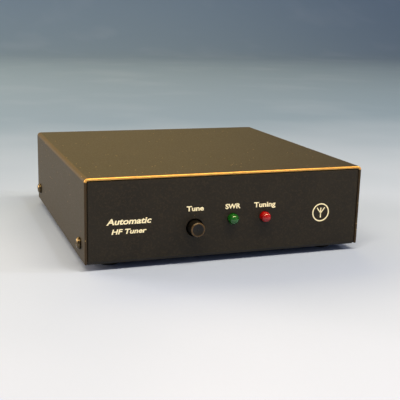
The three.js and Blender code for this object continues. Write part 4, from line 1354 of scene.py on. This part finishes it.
def socket_contact():
    """The centre contact: a split sleeve in front and a solder cup behind."""
    sleeve_floor = CONTACT_END - CONTACT_BORE_DEPTH
    profile = [
        (0, SOCKET_BACK - TAIL_LENGTH),
        (TAIL_RADIUS, SOCKET_BACK - TAIL_LENGTH),
        (TAIL_RADIUS, SOCKET_BACK),
        (CONTACT_RADIUS, SOCKET_BACK),
        (CONTACT_RADIUS, CONTACT_END),
        (CONTACT_BORE_RADIUS, CONTACT_END - 0.3),
        (CONTACT_BORE_RADIUS, sleeve_floor),
        (0, sleeve_floor - 0.8),
    ]
    slit = soft_block(
        (-CONTACT_RADIUS - 0.2, -CONTACT_SLIT, CONTACT_END - CONTACT_SLIT_DEPTH),
        (CONTACT_RADIUS + 0.2, CONTACT_SLIT, CONTACT_END + 1),
        0,
    )
    other_slit = placed(slit, Matrix.Rotation(math.pi / 2, 4, "Z"))
    past = SOCKET_BACK - TAIL_LENGTH - 1.5
    cup = soft_block((-2, 0.2, past), (2, 2.4, SOCKET_BACK - 1.6), 0.1)
    cup_bore = rod(TAIL_BORE, past, SOCKET_BACK - 2.2, 24)
    return carved(turned(softened(profile, 0.18, 2), 40), [slit, other_slit, cup, cup_bore])


def hex_nut(across, height, bore):
    """A hexagon nut along Z from z = 0, its corners turned off and its bore countersunk."""
    corner = across / 2 / math.cos(math.pi / 6)
    prism = turned([(0, 0), (corner, 0), (corner, height), (0, height)], 6)
    bite = (corner - across / 2) * 0.8
    lathe = turned(
        [
            (0, -0.001),
            (corner - bite, -0.001),
            (corner + 0.001, bite * 0.6),
            (corner + 0.001, height - bite * 0.6),
            (corner - bite, height + 0.001),
            (0, height + 0.001),
        ],
        64,
    )
    nut = carved(prism, [lathe], "INTERSECT")
    ease = 0.3
    tool = turned(
        [
            (0, -1),
            (bore + ease, -1),
            (bore + ease, 0),
            (bore, ease),
            (bore, height - ease),
            (bore + ease, height),
            (bore + ease, height + 1),
            (0, height + 1),
        ],
        40,
    )
    return weighted(carved(nut, [tool]))


def make_sockets():
    seat = PANEL_REAR + SEAT_GAP
    for name in SOCKETS:
        centre = node_centre(f"{name}_shell")
        corner = node_centre(f"{name}_screw_1")
        reach = abs(corner.x - centre.x)
        here = facing((0, 1, 0), (centre.x, seat, centre.z))
        bore = CONTACT_RADIUS + INSULATOR_GAP
        ring = tube(INSULATOR_RADIUS, bore, SOCKET_BACK, SOCKET_BORE_FLOOR, 0.25)
        for piece, mesh, finish, node in (
            ("body", socket_shell(reach), "nickel_plate", "shell"),
            ("ptfe", ring, "white_plastic", "insulator"),
            ("centre", socket_contact(), "contact_metal", "contact"),
        ):
            add_piece(f"{name}_{piece}", placed(mesh, here), finish, [f"{name}_{node}"])
        screw_seat = seat + FLANGE_THICKNESS + SEAT_GAP
        screw = placed(pan_head_screw(FLANGE_SCREW_LENGTH), facing((0, 1, 0), spin=0.5))
        screws = on_grid(screw, "nickel_plate", (2, 2), (2 * reach, 2 * reach), upright=1.0)
        place = Matrix.Translation((centre.x, screw_seat, centre.z))
        stands_for = [f"{name}_screw_{i + 1}" for i in range(4)]
        add_piece(f"{name}_screws", placed(screws, place), "nickel_plate", stands_for)
        nut = placed(hex_nut(*FLANGE_NUT), facing((0, -1, 0)))
        nuts = on_grid(nut, "zinc_steel", (2, 2), (2 * reach, 2 * reach), upright=1.0)
        behind = Matrix.Translation((centre.x, PANEL_REAR - SHEET - SEAT_GAP, centre.z))
        add_piece(f"{name}_nuts", placed(nuts, behind), "zinc_steel")


# ------------------------------------------------------------------ ground terminal

STUD_RADIUS = 2.05
STUD_PITCH = 25.4 / 32
WASHER_RADIUS = 4.75
STUD_BORE = 2.2
STUD_THREAD_DEPTH = 0.3
STUD_HEAD_FLATS = 8.0
STUD_HEAD_HEIGHT = 2.4
GROUND_NUT_FLATS = 8.7
GROUND_NUT_HEIGHT = 3.0
WASHER_HEIGHT = 1.0
WING_THICKNESS = 1.8
WING_REACH = 9.6
WING_HALF_SPAN = 9.75
HUB_RADIUS = 4.0
HUB_HEIGHT = 5.0
HUB_TAPER = 0.86


def wing_nut():
    """A wing nut with its seat at z = 0: a tapered hub and two pressed wings."""
    lower_edge = [(1.9, 0.8), (4.2, 0.9), (8.6, 4.2), (WING_HALF_SPAN, 7.2)]
    tip = [(WING_HALF_SPAN - 0.4, WING_REACH), (6.6, WING_REACH)]
    upper_edge = [(4.4, 7.6), (3.4, 4.4), (1.9, 4.4)]
    outline = softened([*lower_edge, *tip, *upper_edge], 1.3, 4, keep_ends=False)
    shape = bmesh.new()
    shape.faces.new([shape.verts.new((x, 0, z)) for x, z in outline])
    thicken(shape, -WING_THICKNESS / 2, WING_THICKNESS)
    rims = [edge for edge in shape.edges if abs(edge.verts[0].co.y - edge.verts[1].co.y) < 1e-6]
    bmesh.ops.bevel(shape, geom=rims, offset=0.45, segments=3, profile=0.5, affect="EDGES")
    wing = to_mesh("wing", shape)
    other = placed(wing, Matrix.Rotation(math.pi, 4, "Z"))
    hub = [(0, 0), (HUB_RADIUS, 0), (HUB_RADIUS * HUB_TAPER, HUB_HEIGHT), (0, HUB_HEIGHT)]
    joined = carved(turned(softened(hub, 0.4, 3), 56), [wing, other], "UNION")
    return weighted(carved(joined, [rod(STUD_BORE, -1, WING_REACH + 1, 40)]))


def make_ground_terminal():
    centre = node_centre("ground_post")
    low, high = node_box("ground_post")
    length = high.y - (PANEL_REAR - SHEET)
    stud = thread(STUD_RADIUS, STUD_THREAD_DEPTH, STUD_PITCH, length, 36, 0.6)
    stud = placed(stud, facing((0, 1, 0), (centre.x, high.y, centre.z)))
    corner = STUD_HEAD_FLATS / 2 / math.cos(math.pi / 6)
    head = rod(corner, 0, STUD_HEAD_HEIGHT, 6, 0.3)
    head = placed(head, facing((0, 1, 0), (centre.x, low.y, centre.z)))
    add_piece("ground_stud", merged([stud, head]), "zinc_steel", ["ground_post"])
    for name, mesh, body in (
        ("ground_nut", hex_nut(GROUND_NUT_FLATS, GROUND_NUT_HEIGHT, STUD_BORE), "case"),
        ("ground_washer", tube(WASHER_RADIUS, STUD_BORE, 0, WASHER_HEIGHT), "ground_washer"),
        ("ground_wing_nut", wing_nut(), "ground_wing_nut"),
    ):
        seat = node_box(name)[0].y
        here = facing((0, 1, 0), (centre.x, seat, centre.z))
        add_piece(f"{name}_plated", placed(mesh, here), "zinc_steel", [name], body)


# ------------------------------------------------------------------ jacks

JACK_SETBACK = 0.25  # from the rear panel's inner face
POWER_BORE_RADIUS = 2.9
POWER_BORE_DEPTH = 9.5
POWER_MOUTH_RADIUS = 3.5
POWER_PIN_RADIUS = 1.05
BUSH_RADIUS = 3.0
BUSH_BORE = 1.8
BUSH_MOUTH = 2.2
BUSH_THREAD_DEPTH = 0.16
BUSH_PITCH = 0.5
RING_NUT_RADIUS = 4.05
RING_NUT_HEIGHT = 1.9


def mouth_cutter(bore, mouth, depth, rise, segments):
    """Cutter that opens a bore out to a wider mouth at z = 0."""
    return turned([(0, -depth), (bore, -depth), (mouth, rise), (mouth, 1), (0, 1)], segments)


def make_power_jack():
    low, high = node_box("power_jack_housing")
    pin_low, pin_high = node_box("power_jack_pin")
    centre = (pin_low + pin_high) / 2
    body = soft_block(low, high, 0.4, 3)
    here = facing((0, 1, 0), (centre.x, high.y, centre.z))
    throat = placed(rod(POWER_BORE_RADIUS, -POWER_BORE_DEPTH, 1.0, 56, 0.25), here)
    funnel = placed(mouth_cutter(POWER_BORE_RADIUS, POWER_MOUTH_RADIUS, 0.6, 0.1, 56), here)
    seat = placed(rod(POWER_PIN_RADIUS + 0.02, -12.0, -9.0, 24, 0), here)
    body = weighted(carved(body, [throat, funnel, seat]))
    add_piece("power_jack_body", body, "black_plastic", ["power_jack_housing"])
    radius, length = POWER_PIN_RADIUS, pin_high.y - pin_low.y
    tip = [(radius, length - 0.8), (0.6, length), (0, length)]
    pin = turned(softened([(0, 0), (radius, 0), *tip], 0.25, 3), 32)
    pin = placed(pin, facing((0, 1, 0), (centre.x, pin_low.y, centre.z)))
    add_piece("power_jack_centre_pin", pin, "nickel_plate", ["power_jack_pin"])
    leaf = soft_block(
        (centre.x - 1.1, low.y + 2.0, centre.z + 2.6),
        (centre.x + 1.1, high.y - 0.6, centre.z + 2.85),
        0.05,
    )
    add_piece("power_jack_leaf", leaf, "nickel_plate")


def make_control_jack():
    low, high = node_box("control_jack_housing")
    nut_low, nut_high = node_box("control_jack_nut")
    x, z = (nut_low.x + nut_high.x) / 2, (nut_low.z + nut_high.z) / 2
    inner = PANEL_REAR - SHEET - JACK_SETBACK
    block = soft_block(low, (high.x, inner, high.z), 0.4, 3)
    here = facing((0, 1, 0), (x, high.y, z))
    length = high.y - inner + 0.4
    bush = placed(thread(BUSH_RADIUS, BUSH_THREAD_DEPTH, BUSH_PITCH, length, 48, 0.4), here)
    bore = placed(rod(BUSH_BORE, -15, 1, 40, 0.1), here)
    lip = placed(mouth_cutter(BUSH_BORE, BUSH_MOUTH, 0.35, 0.05, 40), here)
    mesh = carved(carved(block, [bush], "UNION"), [bore, lip])
    add_piece("control_jack_body", weighted(mesh), "black_plastic", ["control_jack_housing"])
    ring = tube(RING_NUT_RADIUS, BUSH_RADIUS + 0.05, 0, RING_NUT_HEIGHT, 0.15, 56)
    slots = []
    for spin in (0.3, 0.3 + math.pi / 2):
        slot = soft_block((-5, -0.45, 1.25), (5, 0.45, 3), 0)
        slots.append(placed(slot, Matrix.Rotation(spin, 4, "Z")))
    ring = placed(carved(ring, slots), facing((0, 1, 0), (x, nut_low.y, z)))
    add_piece("control_jack_ring", weighted(ring), "nickel_plate", ["control_jack_nut"])


# ------------------------------------------------------------------ inside: board and parts


STANDOFF_FLATS = 5.5


def make_board():
    """The board with its mounting holes, on four standoffs with a screw in each."""
    cutters = []
    for corner in CORNERS:
        centre = node_centre(f"standoff_{corner}")
        low, high = node_box(f"standoff_{corner}")
        above = Matrix.Translation((centre.x, centre.y, high.z))
        cutters.append(placed(rod(SCREW_HOLE, -2, 4, 32, 0), above))
        foot = Matrix.Translation((centre.x, centre.y, low.z))
        spacer = hex_nut(STANDOFF_FLATS, high.z - low.z, SCREW_HOLE)
        spacer = placed(spacer, foot)
        add_piece(f"hex_standoff_{corner}", spacer, "zinc_steel", [f"standoff_{corner}"])
        seat = Matrix.Translation((centre.x, centre.y, BOARD_HIGH.z + SEAT_GAP))
        screw = placed(pan_head_screw(6.0), seat @ Matrix.Rotation(0.6 * len(cutters), 4, "Z"))
        add_piece(f"pan_screw_{corner}", screw, "zinc_steel", [f"board_screw_{corner}"])
    board = carved(soft_block(BOARD_LOW, BOARD_HIGH, 0.12, 1), cutters)
    add_piece("tuner_board", weighted(board), "circuit_board", ["main_board"])


def make_relays():
    """Two rows of eight sealed relays, each with a vent pip, and pins into the board."""
    count, pitch, width = 8, 11.0, 10.0
    seam = 0.2  # depth of the groove where the lid meets the base
    for name in ("capacitor_relays", "inductor_relays"):
        low, high = node_box(name)
        centre = (low + high) / 2
        depth, height = high.y - low.y, high.z - low.z
        body = soft_block((-width / 2, -depth / 2, 0), (width / 2, depth / 2, height), 0.45, 3)
        groove = soft_block((-width, -depth, 1.3), (width, depth, 1.6), 0)
        half_x, half_y = width / 2 - seam, depth / 2 - seam
        core = soft_block((-half_x, -half_y, 1), (half_x, half_y, 2), 0)
        body = carved(carved(body, [groove]), [core], "UNION")
        pip = rod(0.7, height - 0.2, height - 0.01, 20, 0.05)
        pip = placed(pip, Matrix.Translation((3.0, 8.0, 0)))
        relay = merged([weighted(body), pip])
        row = on_grid(relay, "relay_plastic", (count, 1), (pitch, 0))
        base = Matrix.Translation((centre.x, centre.y, low.z))
        add_piece(f"{name}_row", placed(row, base), "relay_plastic", [name])
        joint = turned([(0, -2.2), (0.25, -2.2), (0.3, -1.95), (0.85, -1.62), (0, -1.61)], 12)
        pins = on_grid(joint, "solder", (count * 2, 4), (pitch / 2, 5.08))
        here = Matrix.Translation((centre.x, centre.y, BOARD_HIGH.z))
        add_piece(f"{name}_solder_joints", placed(pins, here), "solder")


def wound_ring(box, inner, wire, edge, paint, turns, arc_share, segments=48):
    """A ring core about the Y axis and the wire wound on it. box is the node's half
    width along the axis and its outer radius, which hold the wire too."""
    half, outer = box[0] - 2 * wire, box[1] - 2 * wire
    section = [(inner, -half), (outer, -half), (outer, half), (inner, half)]
    core = turned(softened(section, edge, 4, keep_ends=False), segments, closed=True)
    core.materials.append(FINISHES[paint])
    coil = grown(
        TREES["winding"],
        Turns=float(turns),
        Arc_Share=arc_share,
        Wire_Radius=wire * 0.92,
        Ring_Radius=(outer + inner) / 2,
        Half_Depth=(outer - inner) / 2 + wire,
        Half_Width=half + wire,
        Material=FINISHES["wound_core"],
    )
    return merged([placed(core, facing((0, 1, 0))), coil])


def make_inductors():
    """Seven powdered-iron rings, each wound with more turns than the last."""
    for i in range(7):
        name = f"inductor_{i + 1}"
        low, high = node_box(name)
        box = ((high.x - low.x) / 2, (high.z - low.z) / 2)
        arc_share = min(0.88, 0.30 + 0.09 * i)
        mesh = wound_ring(box, 5.0, 0.5, 0.9, "core_paint", 6 + 3 * i, arc_share)
        here = Matrix.Translation((low + high) / 2) @ Matrix.Rotation(-math.pi / 2, 4, "Z")
        add_piece(f"wound_{name}", placed(mesh, here), "wound_core", [name])


def make_coupler():
    low, high = node_box("coupler_transformer")
    box = ((high.y - low.y) / 2, (high.z - low.z) / 2)
    mesh = wound_ring(box, 3.9, 0.28, 0.7, "ferrite", 28, 0.86, 44)
    here = Matrix.Translation((low + high) / 2)
    add_piece("wound_coupler", placed(mesh, here), "ferrite", ["coupler_transformer"])


def make_chip():
    """A 20-pin controller with a notch at one end and bent legs down both sides."""
    low, high = node_box("controller_chip")
    centre = (low + high) / 2
    body = soft_block((low.x, low.y, low.z), high, 0.25, 2)
    notch = rod(1.0, high.z - 0.5, high.z + 1, 24, 0)
    notch = placed(notch, Matrix.Translation((low.x, centre.y, 0)))
    body = weighted(carved(body, [notch]))
    add_piece("controller_package", body, "chip_plastic", ["controller_chip"])
    middle = (low.z + high.z) / 2
    leg_top = soft_block((-0.45, 0, middle - 0.12), (0.45, 0.75, middle + 0.12), 0.06)
    leg_down = soft_block((-0.3, 0.6, BOARD_HIGH.z - 2.0), (0.3, 0.84, middle + 0.1), 0.06)
    leg = carved(leg_top, [leg_down], "UNION")
    rows = []
    for side in (-1, 1):
        row = on_grid(leg, "solder", (10, 1), (2.54, 0))
        if side < 0:
            row.transform(Matrix.Rotation(math.pi, 4, "Z"))
        rows.append(placed(row, Matrix.Translation((centre.x, centre.y + side * 3.7, 0))))
    add_piece("controller_legs", merged(rows), "solder")


BETWEEN_BANKS_Y = -13.5
DIODES_Y = -46.4


def make_small_parts():
    """Capacitors between the two banks of relays, the relays' diodes and the supply's
    two capacitors."""
    top = BOARD_HIGH.z
    row_gap = 5.2
    flat = soft_block((-2.6, -1.3, 0.9), (2.6, 1.3, 5.6), 0.6, 3)
    row = on_grid(flat, "brown_ceramic", (8, 2), (11.0, row_gap))
    between_banks = Matrix.Translation((0, BETWEEN_BANKS_Y, top))
    add_piece("tuning_capacitors", placed(row, between_banks), "brown_ceramic")
    wire = turned([(0, -2.4), (0.26, -2.4), (0.26, 1.4), (0, 1.4)], 8)
    wires = on_grid(wire, "solder", (16, 2), (5.5, row_gap))
    add_piece("capacitor_leads", placed(wires, between_banks), "solder")
    can = [(0, 0.1), (3.1, 0.1), (3.1, 1.2), (2.9, 1.5), (3.1, 1.8), (3.1, 9.5), (2.4, 9.6)]
    can = turned(softened([*can, (0, 9.5)], 0.25, 3), 40)
    cans = on_grid(can, "blue_sleeve", (2, 1), (8.5, 0))
    supply = Matrix.Translation((22, -52, top))
    add_piece("supply_capacitors", placed(cans, supply), "blue_sleeve")
    diode = placed(rod(0.95, -2.0, 2.0, 24, 0.25), facing((1, 0, 0), (0, 0, 1.3)))
    diodes = on_grid(diode, "chip_plastic", (8, 2), (11.0, 3.0))
    before_banks = Matrix.Translation((0, DIODES_Y, top))
    add_piece("relay_diodes", placed(diodes, before_banks), "chip_plastic")


PLUNGER_SLOT = 1.8  # half of its side
PLUNGER_SLOT_DEPTH = 7.5


def make_switch():
    """The tune switch: a moulded body with a slot for its plunger, and its spring."""
    low, high = node_box("tune_switch_housing")
    button = node_centre("tune_button_cap")
    body = soft_block(low, high, 0.35, 3)
    slot = soft_block(
        (button.x - PLUNGER_SLOT, low.y - 1, button.z - PLUNGER_SLOT),
        (button.x + PLUNGER_SLOT, low.y + PLUNGER_SLOT_DEPTH, button.z + PLUNGER_SLOT),
        0,
    )
    body = weighted(carved(body, [slot]))
    add_piece("switch_body", body, "black_plastic", ["tune_switch_housing"])
    low, high = node_box("tune_switch_plunger")
    plunger = soft_block(low, high, 0.3, 3)
    add_piece("switch_plunger", plunger, "white_plastic", ["tune_switch_plunger"], "tune_button")
    low, high = node_box("tune_switch_spring")
    wire = 0.25
    coil = grown(
        TREES["spring"],
        Turns=5.5,
        Length=high.y - low.y - 3.1 * wire,
        Radius=(high.x - low.x) / 2 - wire,
        Wire_Radius=wire,
        Material=FINISHES["zinc_steel"],
    )
    centre = (low + high) / 2
    coil = placed(coil, facing((0, 1, 0), (centre.x, low.y + 1.55 * wire, centre.z)))
    spring = add_piece("return_spring", coil, "zinc_steel", ["tune_switch_spring"])
    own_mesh(spring)


def bent_wire(points, radius):
    """A round wire through the points, its corners bent and its ends closed."""
    curve = bpy.data.curves.new("wire", "CURVE")
    curve.dimensions = "3D"
    curve.bevel_depth = radius
    curve.bevel_resolution = 3
    curve.use_fill_caps = True
    spline = curve.splines.new("POLY")
    bent = softened([(y, z) for _, y, z in points], radius * 2, 4)
    spline.points.add(len(bent) - 1)
    for point, (y, z) in zip(spline.points, bent):
        point.co = (points[0][0], y, z, 1.0)
    carrier = bpy.data.objects.new("wire", curve)
    bpy.context.scene.collection.objects.link(carrier)
    mesh = evaluated_mesh(carrier)
    discard(carrier)
    return shaded(mesh)


def make_lamp_holders():
    """Each lamp's holder on the board, with the lamp's two leads bent down behind it."""
    lead_gap, lead_radius, rise = 1.27, 0.25, 1.2
    for name in ("swr_lamp", "tuning_lamp"):
        low, high = node_box(f"{name}_holder")
        axis = node_centre(name)
        body = soft_block(low, high, 0.3, 2)
        bores = []
        leads = []
        for x in (axis.x - lead_gap, axis.x + lead_gap):
            place = (x, low.y, axis.z)
            bore = rod(lead_radius + 0.1, -1, high.y - low.y + 1, 20, 0)
            bores.append(placed(bore, facing((0, 1, 0), place)))
            bend = high.y + rise
            path = [(x, low.y, axis.z), (x, bend, axis.z), (x, bend, BOARD_HIGH.z)]
            leads.append(bent_wire(path, lead_radius))
        block = weighted(carved(body, bores))
        add_piece(f"{name}_block", block, "black_plastic", [f"{name}_holder"])
        add_piece(f"{name}_leads", merged(leads), "solder")


def make_rear_legends():
    """Plain words over the sockets and the jacks on the rear panel."""
    words = []
    top = node_box("antenna_socket_shell")[1].z + 1.6
    for text, node, width in (
        ("ANT", "antenna_socket_shell", 6.0),
        ("RADIO", "transmitter_socket_shell", 9.6),
        ("GND", "ground_post", 6.2),
        ("CTRL", "control_jack_nut", 7.4),
        ("DC", "power_jack_pin", 4.4),
    ):
        words.append(lettering(text, node_centre(node).x, top, width, 2.2, rear=True))
    add_piece("rear_legends", merged(words), "legend_ink")


# ------------------------------------------------------------------ stage


def add_floor():
    """A pale cloth-coloured floor that turns greyer and bluer in the distance."""
    finish = Finish("pale_floor")
    distance = finish.remap(finish.axis("Y"), -0.34, 0.42)
    drift = finish.math("MULTIPLY", finish.math("SUBTRACT", finish.noise(7, 2), 0.5), 0.25)
    share = finish.math("ADD", distance, drift)
    tone = finish.mix(share, colour(0.46, 0.56, 0.94), colour(0.13, 0.22, 0.44))
    finish.set(Base_Color=tone, Roughness=0.85)
    finish.bump(finish.noise(240, 3), 0.0002, 0.4)
    shape = bmesh.new()
    profile = [(-2.2, 0.0), (1.6, 0.0)] + arc((1.6, 0.6), 0.6, 270, 360, 12) + [(2.2, 2.2)]
    half = 2.6
    rows = [[shape.verts.new((x, y, z)) for x in (-half, half)] for y, z in profile]
    for (a, b), (c, d) in zip(rows, rows[1:]):
        shape.faces.new((a, b, d, c))
    bmesh.ops.remove_doubles(shape, verts=shape.verts, dist=1e-6)
    mesh = bpy.data.meshes.new("floor")
    shape.to_mesh(mesh)
    shape.free()
    mesh.shade_smooth()
    mesh.materials.append(finish.material)
    link("floor", mesh)


add_camera()
add_lights()
add_floor()
make_finishes()
make_trees()
make_cover()
make_chassis()
make_cover_screws()
make_feet()
make_button()
make_lamps()
make_legends()
make_sockets()
make_ground_terminal()
make_power_jack()
make_control_jack()
make_rear_legends()
make_board()
make_relays()
make_inductors()
make_coupler()
make_chip()
make_small_parts()
make_switch()
make_lamp_holders()
